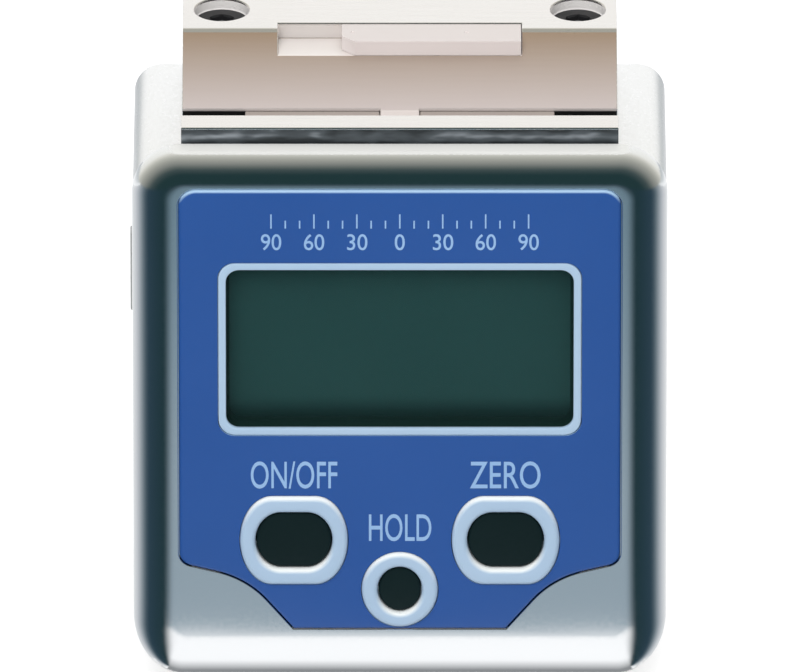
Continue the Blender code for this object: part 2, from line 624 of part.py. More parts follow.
def make_bar(level, land, up):
    """One V-groove bar with its magnets and screws. Heights in it are counted from its lands along up."""

    def at(behind_face, height):
        return (depth(behind_face), land + up * height)

    def span(low, high):
        ends = (land + up * low, land + up * high)
        return min(ends), max(ends)

    section = [
        at(CASE_FRONT, -BAR_THICKNESS),
        at(BAR_BACK, -BAR_THICKNESS),
        at(BAR_BACK, 0),
        at(GROOVE_BACK, 0),
        at(GROOVE_MIDDLE + GROOVE_FLAT / 2, -GROOVE_FLOOR),
        at(GROOVE_MIDDLE - GROOVE_FLAT / 2, -GROOVE_FLOOR),
        at(CASE_FRONT + NEAR_LAND, 0),
        at(CASE_FRONT, 0),
    ]
    bar = slab(f"{level}_v_bar", "X", -BAR_WIDTH / 2, BAR_WIDTH / 2, [section], GROUND_STEEL)

    relief_floor = GROOVE_FLOOR + RELIEF_DEPTH
    magnet_top = relief_floor - SLOT_MAGNET_PROUD
    magnet_bottom = magnet_top + SLOT_MAGNET_HEIGHT
    inner = RELIEF_WEB / 2
    outer = BAR_WIDTH / 2 + OVERRUN
    magnet_length = BAR_WIDTH / 2 - SLOT_MAGNET_END_GAP - inner - SLOT_MAGNET_WEB_GAP
    magnet_x = inner + SLOT_MAGNET_WEB_GAP + magnet_length / 2
    middle = depth(GROOVE_MIDDLE)
    for side, way in (("left", -1), ("right", 1)):
        slot = slab(f"{level}_relief_{side}", "Z", *span(-relief_floor, OVERRUN - GROOVE_FLOOR),
                    [rectangle(outer - inner, RELIEF_WIDTH)], place=(way * (inner + outer) / 2, middle))
        pocket_size = (magnet_length + 2 * CLEARANCE, SLOT_MAGNET_WIDTH + 2 * CLEARANCE)
        pocket_floor = -magnet_bottom - CLEARANCE
        pocket = slab(f"{level}_slot_pocket_{side}", "Z", *span(pocket_floor, OVERRUN - GROOVE_FLOOR),
                      [rectangle(*pocket_size)], place=(way * magnet_x, middle))
        cut(bar, slot)
        cut(bar, pocket)
        slab(f"{level}_slot_magnet_{side}", "Z", *span(-magnet_bottom, -magnet_top),
             [rectangle(magnet_length, SLOT_MAGNET_WIDTH)], MAGNET_NICKEL, (way * magnet_x, middle))

    def on_slope(height):
        return at(GROOVE_BACK + height / GROOVE_SLOPE, height)

    pocket_front = GROOVE_BACK - EDGE_POCKET_DEPTH / GROOVE_SLOPE - OVERRUN
    pocket_back = GROOVE_BACK + EDGE_POCKET_BACK
    right = BAR_WIDTH / 2 - EDGE_POCKET_INSET
    cut(bar, slab(f"{level}_edge_pocket", "X", -right, right,
                  [[at(pocket_front, -EDGE_POCKET_DEPTH), at(pocket_back, -EDGE_POCKET_DEPTH),
                    at(pocket_back, OVERRUN), at(pocket_front, OVERRUN)]]))
    magnet_floor = EDGE_POCKET_DEPTH - CLEARANCE
    magnet_back = pocket_back - CLEARANCE
    slab(f"{level}_edge_magnet", "X", CLEARANCE + EDGE_MAGNET_SHORT - right, right - CLEARANCE,
         [[on_slope(-magnet_floor), at(magnet_back, -magnet_floor), at(magnet_back, -EDGE_MAGNET_SUNK),
           on_slope(-EDGE_MAGNET_SUNK)]], MAGNET_NICKEL)

    direction = UP * up
    for side, x in (("left", -BAR_SCREW_SPACING / 2), ("right", BAR_SCREW_SPACING / 2)):
        top = -BAR_SCREW_SUNK
        neck = top - BAR_SCREW_HEAD_HEIGHT
        tip = top - BAR_SCREW_LENGTH
        place = (x, depth(BAR_SCREW_DEPTH), land)
        wide, narrow = BAR_SCREW_HEAD_RADIUS, BAR_SCREW_RADIUS
        name = f"{level}_bar_screw_{side}"
        screw = turned(name, [(0, top), (wide, top), (narrow, neck), (narrow, tip), (0, tip)], place, direction,
                       BLACK_STEEL)
        socket = [(0, OVERRUN), (BAR_SCREW_SOCKET, OVERRUN), (BAR_SCREW_SOCKET, top - BAR_SCREW_SOCKET_DEPTH),
                  (0, top - BAR_SCREW_SOCKET_DEPTH)]
        hexagon = turned(f"{name}_socket", socket, place, direction)
        hexagon.modifiers["turn"].steps = SOCKET_SIDES
        hexagon.modifiers["turn"].render_steps = SOCKET_SIDES
        cut(screw, hexagon)
        hole = [(0, OVERRUN), (wide + CLEARANCE, OVERRUN), (wide + CLEARANCE, top - CLEARANCE),
                (narrow + CLEARANCE, neck - CLEARANCE), (narrow + CLEARANCE, -BAR_THICKNESS - OVERRUN),
                (0, -BAR_THICKNESS - OVERRUN)]
        cut(bar, turned(f"{name}_hole", hole, place, direction))


def make_cover_screws():
    """Four screws from the back, whose heads rest deep in the columns and whose tips end in the cover."""
    seat = COVER_SCREW_SEAT_DEPTH + CLEARANCE
    head, shank = COVER_SCREW_HEAD_RADIUS, COVER_SCREW_RADIUS
    length = seat - COVER_SCREW_TIP_DEPTH
    for name, x, z in corners(COLUMN_X, COLUMN_BOTTOM, COLUMN_TOP):
        profile = [(0, length), (shank, length), (shank, 0), (head, 0), (head, -COVER_SCREW_HEAD_HEIGHT),
                   (0, -COVER_SCREW_HEAD_HEIGHT)]
        turned(f"cover_screw_{name}", profile, (x, depth(seat), z), FORWARD, BRIGHT_STEEL)


def make_face():
    """The printed sheet on the front, with holes for the window and for the three key rings."""

    def moved(outline, place):
        return [(x + place[0], z + place[1]) for x, z in outline]

    window = rounded(WINDOW_WIDTH + 2 * FACE_CLEARANCE, WINDOW_HEIGHT + 2 * FACE_CLEARANCE,
                     WINDOW_CORNER + FACE_CLEARANCE)
    holes = [moved(window, (0, WINDOW_Z))]
    holes += [moved(key.ring_outline(FACE_CLEARANCE), key.place) for key in KEYS]
    slab("face_sheet", "Y", depth(FACE_SET_BACK), depth(FACE_SET_BACK + FACE_THICKNESS),
         [face_outline(0)] + holes, BLUE_PRINT)


def make_window_and_display():
    """From the front: frame, lens, display glass, reflector, contact strip and the holder round them."""
    place = (0, WINDOW_Z)
    outer = rounded(WINDOW_WIDTH, WINDOW_HEIGHT, WINDOW_CORNER)
    opening = (WINDOW_WIDTH - 2 * WINDOW_RIM, WINDOW_HEIGHT - 2 * WINDOW_RIM, WINDOW_CORNER - WINDOW_RIM / 2)
    narrow = (opening[0] - 2 * WINDOW_LEDGE, opening[1] - 2 * WINDOW_LEDGE, opening[2])
    frame = slab("window_frame", "Y", depth(0), depth(COVER_WALL), [outer, rounded(*narrow)], PALE_BLUE,
                 place)
    ledge = COVER_WALL - WINDOW_LEDGE_THICKNESS
    cut(frame, slab("lens_seat", "Y", depth(-OVERRUN), depth(ledge), [rounded(*opening)], place=place))
    lens = rounded(opening[0] - 2 * CLEARANCE, opening[1] - 2 * CLEARANCE, opening[2] - CLEARANCE)
    lens_back = ledge - CLEARANCE
    slab("window_lens", "Y", depth(lens_back - LENS_THICKNESS), depth(lens_back), [lens], CLEAR_LENS, place)

    slab("lcd_glass", "Y", depth(GLASS_FRONT), depth(GLASS_FRONT + GLASS_THICKNESS),
         [rectangle(GLASS_WIDTH, GLASS_HEIGHT)], DISPLAY_GREEN, place)
    glass_top = WINDOW_Z + GLASS_HEIGHT / 2
    strip_top = WINDOW_Z - GLASS_HEIGHT / 2 + CLEARANCE + STRIP_HEIGHT
    slab("contact_strip", "Y", depth(STRIP_FRONT), depth(STRIP_BACK),
         [rectangle(GLASS_WIDTH - 2 * STRIP_INSET, STRIP_HEIGHT)], BLACK_RUBBER,
         (0, strip_top - STRIP_HEIGHT / 2))
    reflector_bottom = strip_top + CLEARANCE
    slab("lcd_reflector", "Y", depth(STRIP_FRONT), depth(STRIP_FRONT + REFLECTOR_THICKNESS),
         [rectangle(GLASS_WIDTH - 2 * REFLECTOR_INSET, glass_top - reflector_bottom)], DISPLAY_WHITE,
         (0, (glass_top + reflector_bottom) / 2))
    inner = rectangle(GLASS_WIDTH + 2 * CLEARANCE, GLASS_HEIGHT + 2 * CLEARANCE)
    slab("lcd_holder", "Y", depth(GLASS_FRONT), depth(STRIP_BACK),
         [rounded(HOLDER_WIDTH, HOLDER_HEIGHT, HOLDER_CORNER), inner], BLACK_PLASTIC, place)


def make_board():
    """The circuit board, its four screws and the parts on its back."""
    back = BOARD_DEPTH + BOARD_THICKNESS
    board = slab("circuit_board", "Y", depth(BOARD_DEPTH), depth(back),
                 [rounded(BOARD_WIDTH, BOARD_HEIGHT, BOARD_CORNER)], BOARD_GREEN, (0, MIDDLE_Z))
    seat = back + CLEARANCE
    shank, head = BOARD_SCREW_RADIUS, BOARD_SCREW_HEAD_RADIUS
    profile = [(0, BOARD_SCREW_LENGTH), (shank, BOARD_SCREW_LENGTH), (shank, 0), (head, 0),
               (head, -BOARD_SCREW_HEAD_HEIGHT), (0, -BOARD_SCREW_HEAD_HEIGHT)]
    for name, x, z in corners(BOARD_SCREW_X, BOARD_SCREW_BOTTOM, BOARD_SCREW_TOP):
        cut(board, slab(f"board_hole_{name}", "Y", depth(BOARD_DEPTH - OVERRUN), depth(back + OVERRUN),
                        [circle(BOARD_SCREW_RADIUS + CLEARANCE)], place=(x, z)))
        turned(f"board_screw_{name}", profile, (x, depth(seat), z), FORWARD, BRIGHT_STEEL)

    def on_board(name, outline, height, shares, surface):
        place = (BOARD_WIDTH * shares[0], MIDDLE_Z + BOARD_HEIGHT * shares[1])
        slab(name, "Y", depth(seat), depth(seat + height), [outline], surface, place)

    can = rounded(CRYSTAL_LENGTH, CRYSTAL_WIDTH, CRYSTAL_WIDTH / 2)
    on_board("controller_chip", rectangle(CHIP_SIDE, CHIP_SIDE), CHIP_HEIGHT, CHIP_PLACE_SHARES, BLACK_PLASTIC)
    on_board("tilt_sensor", rectangle(SENSOR_SIDE, SENSOR_SIDE), SENSOR_HEIGHT, SENSOR_PLACE_SHARES,
             BLACK_PLASTIC)
    on_board("crystal", can, CRYSTAL_WIDTH, CRYSTAL_PLACE_SHARES, BRIGHT_STEEL)
    on_board("capacitor", circle(CAPACITOR_RADIUS), CAPACITOR_HEIGHT, CAPACITOR_PLACE_SHARES, BLACK_PLASTIC)


def make_key(key):
    """One key: the ring round it, the cap with its flange and plunger, and the snap dome on the board."""
    slab(f"{key.name}_ring", "Y", depth(-RING_PROUD), depth(RING_DEPTH),
         [key.ring_outline(), key.opening_outline()], PALE_BLUE, key.place)
    flange_front = COVER_WALL + CLEARANCE
    flange_back = flange_front + KEY_FLANGE_THICKNESS
    flange_middle = (flange_front + flange_back) / 2
    plunger_tip = STRIP_BACK - DOME_RISE - KEY_TRAVEL - FACE_CLEARANCE
    cap = slab(f"{key.name}_key", "Y", depth(KEY_RECESS), depth(flange_middle),
               [key.opening_outline(-CLEARANCE)], BLACK_RUBBER, key.place)
    join(cap, slab(f"{key.name}_flange", "Y", depth(flange_front), depth(flange_back),
                   [key.opening_outline(KEY_FLANGE_LIP - CLEARANCE)], place=key.place))
    join(cap, slab(f"{key.name}_plunger", "Y", depth(flange_middle), depth(plunger_tip),
                   [circle(KEY_PLUNGER_RADIUS)], place=key.place))

    outer = arc((0, 0), (DOME_RADIUS, DOME_RISE), 90, 0, DOME_STEPS)
    inner = arc((0, 0), (DOME_RADIUS - DOME_WALL, DOME_RISE - DOME_WALL), 0, 90, DOME_STEPS)
    place = (key.place[0], depth(STRIP_BACK), key.place[1])
    turned(f"{key.name}_dome", outer + inner, place, FORWARD, SPRING_METAL)


def make_tray():
    """The drawer for the coin cell, with the cell lying in it and a lip for a fingernail on its outer end."""
    tray = slab("battery_tray", "Y", depth(TRAY_FRONT), depth(TRAY_BACK), [rectangle(TRAY_LENGTH, TRAY_HEIGHT)],
                BLACK_PLASTIC, (TRAY_LEFT + TRAY_LENGTH / 2, TRAY_Z))
    place = (CELL_X, TRAY_Z)
    floor = TRAY_BACK - TRAY_FLOOR
    cut(tray, slab("cell_pocket", "Y", depth(TRAY_FRONT - OVERRUN), depth(floor),
                   [circle(CELL_RADIUS + CLEARANCE)], place=place))
    cut(tray, slab("tray_window", "Y", depth(floor - OVERRUN), depth(TRAY_BACK + OVERRUN),
                   [circle(TRAY_WINDOW_RADIUS)], place=place))
    join(tray, slab("nail_lip", "X", TRAY_LEFT - NAIL_LIP_PROUD, TRAY_LEFT + OVERLAP,
                    [rectangle(NAIL_LIP_WIDTH, NAIL_LIP_HEIGHT)], place=(depth(TRAY_MIDDLE_DEPTH), TRAY_Z)))
    rim = CELL_RADIUS - CELL_CAN_STEP
    step = CELL_THICKNESS - CELL_STEP_HEIGHT
    profile = [(0, CELL_THICKNESS), (rim, CELL_THICKNESS), (CELL_RADIUS, step), (CELL_RADIUS, 0), (0, 0)]
    turned("coin_cell", profile, (CELL_X, depth(floor - CLEARANCE), TRAY_Z), FORWARD, BRIGHT_STEEL)


def make_battery_bay():
    """The bay that guides the tray, the two contacts on it and the wires from them to the board."""
    end = TRAY_LEFT + TRAY_LENGTH + CLEARANCE
    right = end + BAY_END_WALL
    inside = (TRAY_THICKNESS + 2 * CLEARANCE, TRAY_HEIGHT + 2 * CLEARANCE)
    outside = (inside[0] + 2 * BAY_WALL, inside[1] + 2 * BAY_EDGE_WALL)
    place = (depth(TRAY_MIDDLE_DEPTH), TRAY_Z)
    bay = slab("battery_bay", "X", BAY_LEFT, right, [rectangle(*outside)], BLACK_PLASTIC, place)
    cut(bay, slab("bay_inside", "X", BAY_LEFT - OVERRUN, end, [rectangle(*inside)], place=place))
    front = TRAY_MIDDLE_DEPTH - outside[0] / 2
    back = TRAY_MIDDLE_DEPTH + outside[0] / 2
    cut(bay, slab("bay_window", "Y", depth(front - OVERRUN), depth(back + OVERRUN),
                  [circle(BAY_WINDOW_RADIUS)], place=(CELL_X, TRAY_Z)))

    tab = right + CONTACT_TAB
    for name, face, way, surface in (("negative", front, -1, WIRE_BLACK), ("positive", back, 1, WIRE_RED)):
        skin = face + way * CLEARANCE
        outer = skin + way * CONTACT_THICKNESS
        dip = face - way * (BAY_WALL - CONTACT_THICKNESS)
        finger = CELL_X + CONTACT_FINGER / 2
        knee = CELL_X + BAY_WINDOW_RADIUS - CLEARANCE
        section = [(tab, skin), (tab, outer), (knee, outer), (finger, dip + way * CONTACT_THICKNESS),
                   (finger - CONTACT_FINGER, dip + way * CONTACT_THICKNESS), (finger - CONTACT_FINGER, dip),
                   (finger, dip), (knee, skin)]
        slab(f"{name}_contact", "Z", TRAY_Z - CONTACT_WIDTH / 2, TRAY_Z + CONTACT_WIDTH / 2,
             [[(x, depth(behind_face)) for x, behind_face in section]], SPRING_METAL)

        board_back = BOARD_DEPTH + BOARD_THICKNESS + CLEARANCE
        start = Vector((tab - WIRE_LEAD, depth(min(skin, outer) - CLEARANCE), TRAY_Z))
        stop = Vector((right + CONTACT_TAB + way * WIRE_PAD_OFFSET, depth(board_back), TRAY_Z))
        curve = bpy.data.curves.new(f"{name}_wire", "CURVE")
        curve.dimensions = "3D"
        curve.bevel_depth = WIRE_RADIUS
        curve.bevel_resolution = WIRE_ROUND_STEPS
        curve.use_fill_caps = True
        spline = curve.splines.new("POLY")
        spline.points.add(WIRE_STEPS)
        for i, point in enumerate(spline.points):
            share = i / WIRE_STEPS
            eased_share = (1 - math.cos(math.pi * share)) / 2
            along = start.lerp(stop, share)
            bow = WIRE_BOW * math.sin(math.pi * share) ** 2
            point.co = (start.x + (stop.x - start.x) * eased_share, along.y, along.z + way * bow, 1)
        add(f"{name}_wire", as_closed_mesh(f"{name}_wire", curve), surface, Matrix.Identity(4))


make_front_cover()
make_rear_case()
make_bar("top", LAND_TOP, 1)
make_bar("bottom", 0, -1)
make_cover_screws()
make_face()
make_window_and_display()
make_board()
for each_key in KEYS:
    make_key(each_key)
make_tray()
make_battery_bay()

for piece in level_box.objects:
    if not piece.modifiers:
        piece.data.shade_smooth()
        piece.data.set_sharp_from_angle(angle=SHARP_ANGLE)
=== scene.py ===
"""The looks of a pocket digital level box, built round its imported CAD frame. Metres, +X right, +Y to the
back, +Z up; the face looks along -Y. Sections follow the box as it is put together."""

import math

import bmesh
import bpy
import numpy as np
from mathutils import Matrix, Vector


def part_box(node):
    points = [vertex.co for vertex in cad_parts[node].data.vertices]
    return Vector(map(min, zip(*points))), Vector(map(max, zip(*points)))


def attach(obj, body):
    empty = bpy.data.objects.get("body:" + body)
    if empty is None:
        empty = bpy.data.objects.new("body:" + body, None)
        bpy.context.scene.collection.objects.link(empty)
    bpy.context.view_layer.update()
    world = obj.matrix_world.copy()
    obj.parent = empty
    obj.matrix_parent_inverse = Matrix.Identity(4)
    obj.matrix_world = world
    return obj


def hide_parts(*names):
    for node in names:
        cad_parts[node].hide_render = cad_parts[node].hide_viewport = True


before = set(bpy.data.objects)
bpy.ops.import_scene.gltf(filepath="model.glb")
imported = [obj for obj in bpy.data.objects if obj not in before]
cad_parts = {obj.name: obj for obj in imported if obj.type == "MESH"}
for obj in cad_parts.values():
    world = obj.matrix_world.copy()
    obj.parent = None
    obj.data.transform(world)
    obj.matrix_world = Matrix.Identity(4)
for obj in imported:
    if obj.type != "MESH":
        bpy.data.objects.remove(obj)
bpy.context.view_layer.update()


# Camera. The photograph looks square at the face from 25 degrees above it, through a lens so long that the
# upright edges stay parallel. It aims at the picture's middle, which lies a little above the box's middle.
MM = 0.001
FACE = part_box("window_frame")[0].y
PHOTO_WIDTH = 800
PIXEL_SIZE = 0.09346 * MM
ELEVATION = math.radians(25)
CAMERA_DISTANCE = 2.6
AIM = Vector((0.02 * MM, 0, 29.74 * MM))


def placed(name, data):
    """A new object in the scene."""
    piece = bpy.data.objects.new(name, data)
    bpy.context.scene.collection.objects.link(piece)
    return piece


lens = bpy.data.cameras.new("photo_camera")
lens.sensor_fit = "HORIZONTAL"
face_distance = CAMERA_DISTANCE + FACE * math.cos(ELEVATION)
lens.lens = lens.sensor_width * face_distance / (PHOTO_WIDTH * PIXEL_SIZE)
camera = placed("photo_camera", lens)
away = Vector((0, -math.cos(ELEVATION), math.sin(ELEVATION)))
camera.location = AIM + away * CAMERA_DISTANCE
camera.rotation_euler = away.to_track_quat("Z", "Y").to_euler()
bpy.context.scene.camera = camera


# Front cover. A zinc casting with a satin chrome finish: a frame whose edges roll over the sides, with a
# shallow recess that the printed sheet lies in. It is screwed to the case from behind.
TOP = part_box("front_cover")[1].z
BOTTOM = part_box("front_cover")[0].z
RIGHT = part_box("front_cover")[1].x
COVER_DEPTH = 4.2 * MM
COVER_WALL = 2.0 * MM
ROUND_DEPTH = 4.0 * MM
SIDE_ROUND = 4.0 * MM
TOP_ROUND = 2.65 * MM
BOTTOM_ROUND = 5.5 * MM
COVER_CORNER = (4.6 * MM, 4.9 * MM, 6.1 * MM)
FLAT_CORNER = 1.2 * MM
CAVITY_HALF = (20 * MM, 20.15 * MM)
CAVITY_CORNER = 1 * MM
OPENING_SHARE = 0.8
STRETCHES = (22, 26, 48, 64, 18)
ROLL_STEPS = 26
SHARP_ANGLE = math.radians(30)

SHEET_WIDTH = 41.3 * MM
SHEET_TOP = TOP - 2.8 * MM
SHEET_BOTTOM = BOTTOM + 6.2 * MM
SHEET_FOOT = 6.5 * MM
SHEET_CORNER = 1.7 * MM
SIDE_CORNER = 1.4 * MM
SHOULDER_RUN = 2.5 * MM
SHOULDER_RADIUS = 9.0 * MM
SHOULDER_SLOPE = 14
FOOT_SLOPE = 50
RECESS_GAP = 0.08 * MM
RECESS_DEPTH = 0.7 * MM
RECESS_EDGE = 0.05 * MM

BROAD_GRAIN = 70
NOISE_SPAN = (0.3, 0.7)


def arc(centre, radii, start, end, count=33):
    """Points on an ellipse: the centre plus each radius times the cosine or sine of an even row of angles."""
    angles = np.radians(np.linspace(start, end, count))
    return np.stack([centre[0] + radii[0] * np.cos(angles), centre[1] + radii[1] * np.sin(angles)], 1)


def spaced(line, count):
    """A line of points, taken again at even distances along it."""
    reach = np.concatenate([[0], np.cumsum(np.linalg.norm(np.diff(line, axis=0), axis=1))])
    even = np.linspace(0, reach[-1], count)
    return np.stack([np.interp(even, reach, line[:, axis]) for axis in (0, 1)], 1)


def mirrored(stretches):
    """A closed outline from five stretches of its right half, from top middle to bottom middle, each with its
    own fixed count of points, and the same points with x turned round for the left half."""
    parts = [spaced(np.asarray(line), count + 1)[:-1] for line, count in zip(stretches, STRETCHES)]
    half = np.concatenate(parts + [np.asarray(stretches[-1])[-1:]])
    return np.concatenate([half[:-1], half[:0:-1] * (-1, 1)])


def frame_outline(right, top, bottom, width, upper, lower):
    """A rectangle with elliptic corners, all of one width, with one height at the top and one at the foot."""
    high = arc((right - width, top - upper), (width, upper), 90, 0)
    low = arc((right - width, bottom + lower), (width, lower), 0, -90)
    return mirrored([[(0, top), high[0]], high, [high[-1], low[0]], low, [low[-1], (0, bottom)]])


def rolled(behind_face):
    """The cover's outline at a depth. Each edge is drawn in by its round times one less the root of one less
    the square of the share of the round's depth that is left, which is a quarter ellipse."""

    def drawn_in(width):
        """How far an edge with a round of this width is drawn in."""
        round_depth = TOP_ROUND if width == TOP_ROUND else ROUND_DEPTH
        left_share = max(0, 1 - behind_face / round_depth)
        return width * (1 - math.sqrt(1 - left_share**2))

    side = drawn_in(SIDE_ROUND)
    full_share = 1 - side / SIDE_ROUND
    width, upper, lower = (FLAT_CORNER + (size - FLAT_CORNER) * full_share for size in COVER_CORNER)
    return frame_outline(RIGHT - side, TOP - drawn_in(TOP_ROUND), BOTTOM + drawn_in(BOTTOM_ROUND), width,
                         upper, lower)


def sheet_outline(grow):
    """The printed sheet's outline, grown all round: round top corners, straight sides, then a gently falling
    shoulder that turns down through a hollow arc into the foot."""
    right, shoulder = SHEET_WIDTH / 2, SHEET_BOTTOM + SHEET_FOOT
    top, bottom = SHEET_TOP + grow, SHEET_BOTTOM - grow
    corner, side, radius = SHEET_CORNER + grow, SIDE_CORNER + grow, SHOULDER_RADIUS - grow
    slope, foot = math.radians(SHOULDER_SLOPE), math.radians(FOOT_SLOPE)
    side_x, side_z = right - SIDE_CORNER, shoulder + SIDE_CORNER
    reach = SIDE_CORNER + SHOULDER_RADIUS
    turn_x = side_x + reach * math.sin(slope) - SHOULDER_RUN * math.cos(slope)
    turn_z = side_z - reach * math.cos(slope) - SHOULDER_RUN * math.sin(slope)
    high = arc((right - SHEET_CORNER, SHEET_TOP - SHEET_CORNER), (corner, corner), 90, 0)
    low = arc((side_x, side_z), (side, side), 0, SHOULDER_SLOPE - 90)
    hollow = arc((turn_x, turn_z), (radius, radius), 90 + SHOULDER_SLOPE, 90 + FOOT_SLOPE)
    heel = np.array([[hollow[-1, 0] - (hollow[-1, 1] - bottom) / math.tan(foot), bottom]])
    return mirrored([[(0, top), high[0]], high, [high[-1], low[0]], np.concatenate([low, hollow, heel]),
                     [heel[0], (0, bottom)]])


def standing(outline, behind_face):
    """An outline of x and z stood up at a depth behind the face."""
    return np.stack([outline[:, 0], np.full(len(outline), FACE + behind_face), outline[:, 1]], 1)


def smoothed(mesh):
    """Shades a mesh smooth up to its sharp edges."""
    mesh.shade_smooth()
    mesh.set_sharp_from_angle(angle=SHARP_ANGLE)


def skin(name, rows, closed=False):
    """A skin over rows of points that each run once round. Neighbours in the grid make a face. The last row
    joins the first where it is closed, and otherwise a flat face fills each end."""
    rows = np.asarray(rows)
    index = np.arange(rows.shape[0] * rows.shape[1]).reshape(rows.shape[:2])
    here = index if closed else index[:-1]
    above = np.roll(index, -1, axis=0) if closed else index[1:]
    faces = np.stack([here, np.roll(here, -1, 1), np.roll(above, -1, 1), above], -1).reshape(-1, 4).tolist()
    if not closed:
        faces += [index[0][::-1].tolist(), index[-1].tolist()]
    mesh = bpy.data.meshes.new(name)
    mesh.from_pydata(rows.reshape(-1, 3).tolist(), [], faces)
    shape = bmesh.new()
    shape.from_mesh(mesh)
    bmesh.ops.recalc_face_normals(shape, faces=shape.faces)
    shape.to_mesh(mesh)
    shape.free()
    smoothed(mesh)
    return placed(name, mesh)


def feed(tree, value, socket):
    """Links a socket to another one, or sets it to a plain value."""
    if isinstance(value, bpy.types.NodeSocket):
        tree.links.new(value, socket)
    else:
        socket.default_value = value


def worked(tree, operation, first, second=None):
    """A sum on one or two values, each a number or a socket."""
    node = tree.nodes.new("ShaderNodeMath")
    node.operation = operation
    feed(tree, first, node.inputs[0])
    if second is not None:
        feed(tree, second, node.inputs[1])
    return node.outputs["Value"]


def product(tree, first, *others):
    """Values multiplied together."""
    for other in others:
        first = worked(tree, "MULTIPLY", first, other)
    return first


def mixed(tree, share, first, second):
    """A mix of two tones, each a colour or a socket, by a share."""
    node = tree.nodes.new("ShaderNodeMix")
    node.data_type = "RGBA"
    feed(tree, share, node.inputs["Factor"])
    for socket, value in ((node.inputs["A"], first), (node.inputs["B"], second)):
        feed(tree, (*value, 1) if isinstance(value, tuple) else value, socket)
    return node.outputs["Result"]


def split(tree, coordinate):
    """The sockets of one of a point's coordinates: x, y and z."""
    parts = tree.nodes.new("ShaderNodeSeparateXYZ")
    tree.links.new(tree.nodes.new("ShaderNodeTexCoord").outputs[coordinate], parts.inputs["Vector"])
    return parts.outputs["X"], parts.outputs["Y"], parts.outputs["Z"]


def places(tree):
    """Where a point lies."""
    return split(tree, "Object")


def facing(tree):
    """Which way a point's surface looks."""
    return split(tree, "Normal")


def noise(tree, stretch, grain, detail):
    """A noise over a point's place, stretched along each axis."""
    where = tree.nodes.new("ShaderNodeMapping")
    where.inputs["Scale"].default_value = stretch
    texture = tree.nodes.new("ShaderNodeTexNoise")
    texture.inputs["Scale"].default_value = grain
    texture.inputs["Detail"].default_value = detail
    tree.links.new(tree.nodes.new("ShaderNodeTexCoord").outputs["Object"], where.inputs["Vector"])
    tree.links.new(where.outputs["Vector"], texture.inputs["Vector"])
    return texture.outputs["Fac"]


def ramp(tree, value, stops):
    """A colour that runs through stops of place and tone as a value goes from zero to one."""
    scale = tree.nodes.new("ShaderNodeValToRGB")
    bands = scale.color_ramp.elements
    while len(bands) < len(stops):
        bands.new(0.5)
    for band, (place, tone) in zip(bands, stops):
        band.position = place
        band.color = (*tone, 1)
    tree.links.new(value, scale.inputs["Fac"])
    return scale.outputs["Color"]


def ranged(tree, value, seen, given, kind="LINEAR"):
    """A value carried from the span it is seen in to the span given."""
    share = tree.nodes.new("ShaderNodeMapRange")
    share.interpolation_type = kind
    for end, one, other in zip(("Min", "Max"), seen, given):
        share.inputs[f"From {end}"].default_value = one
        share.inputs[f"To {end}"].default_value = other
    tree.links.new(value, share.inputs["Value"])
    return share.outputs["Result"]


def eased(tree, value, low, high):
    """A share that eases from zero at the low value to one at the high one."""
    return ranged(tree, value, (low, high), (0, 1), "SMOOTHSTEP")


def source(shader, name):
    """What feeds one of a shader's sockets."""
    return shader.inputs[name].links[0].from_socket


def shader_of(surface):
    """A surface's node tree and its shader."""
    return surface.node_tree, surface.node_tree.nodes["Principled BSDF"]


def tinted(tree, shader, share, tone):
    """Mixes a shader's own tone towards another by a share."""
    tree.links.new(mixed(tree, share, source(shader, "Base Color"), tone), shader.inputs["Base Color"])


def finish(name, dark, light, roughness, metallic=0.0, grain=900, stretch=(1, 1, 1), bump=0.05,
           depth=0.02 * MM, **sockets):
    """A surface that drifts between two tones with a broad noise. A fine noise, stretched along the way it
    was worked, moves its roughness between two values and lifts it a little."""
    surface = bpy.data.materials.new(name)
    surface.use_nodes = True
    tree, shader = shader_of(surface)
    shader.inputs["Metallic"].default_value = metallic
    for socket, value in sockets.items():
        shader.inputs[socket.replace("_", " ")].default_value = value
    broad = noise(tree, (1, 1, 1), BROAD_GRAIN, 3)
    fine = noise(tree, stretch, grain, 4)
    relief = tree.nodes.new("ShaderNodeBump")
    relief.inputs["Strength"].default_value = bump
    relief.inputs["Distance"].default_value = depth
    tree.links.new(fine, relief.inputs["Height"])
    tree.links.new(mixed(tree, broad, dark, light), shader.inputs["Base Color"])
    tree.links.new(ranged(tree, fine, NOISE_SPAN, roughness), shader.inputs["Roughness"])
    tree.links.new(relief.outputs["Normal"], shader.inputs["Normal"])
    return surface


def dress(piece, surface, body="case", stands_for=()):
    """Gives a new piece its surface and its body, and hides the CAD nodes it stands for."""
    piece.data.materials.clear()
    piece.data.materials.append(surface)
    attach(piece, body)
    if stands_for:
        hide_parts(*stands_for)
    return piece


satin_chrome = finish("satin_chrome", (0.92, 0.93, 0.94), (0.95, 0.96, 0.97), (0.14, 0.20), 1.0, grain=2600,
                      bump=0.03, depth=0.01 * MM)
tree, shader = shader_of(satin_chrome)
# Painted highlight: the up-facing top is painted pale grey and made duller, so the lamps light it.
dull = eased(tree, facing(tree)[2], 0.95, 1.0)
tinted(tree, shader, dull, (0.66, 0.66, 0.64))
tree.links.new(worked(tree, "SUBTRACT", 1, product(tree, dull, 0.85)), shader.inputs["Metallic"])
roughness = worked(tree, "ADD", source(shader, "Roughness"), product(tree, dull, 0.35))
tree.links.new(roughness, shader.inputs["Roughness"])

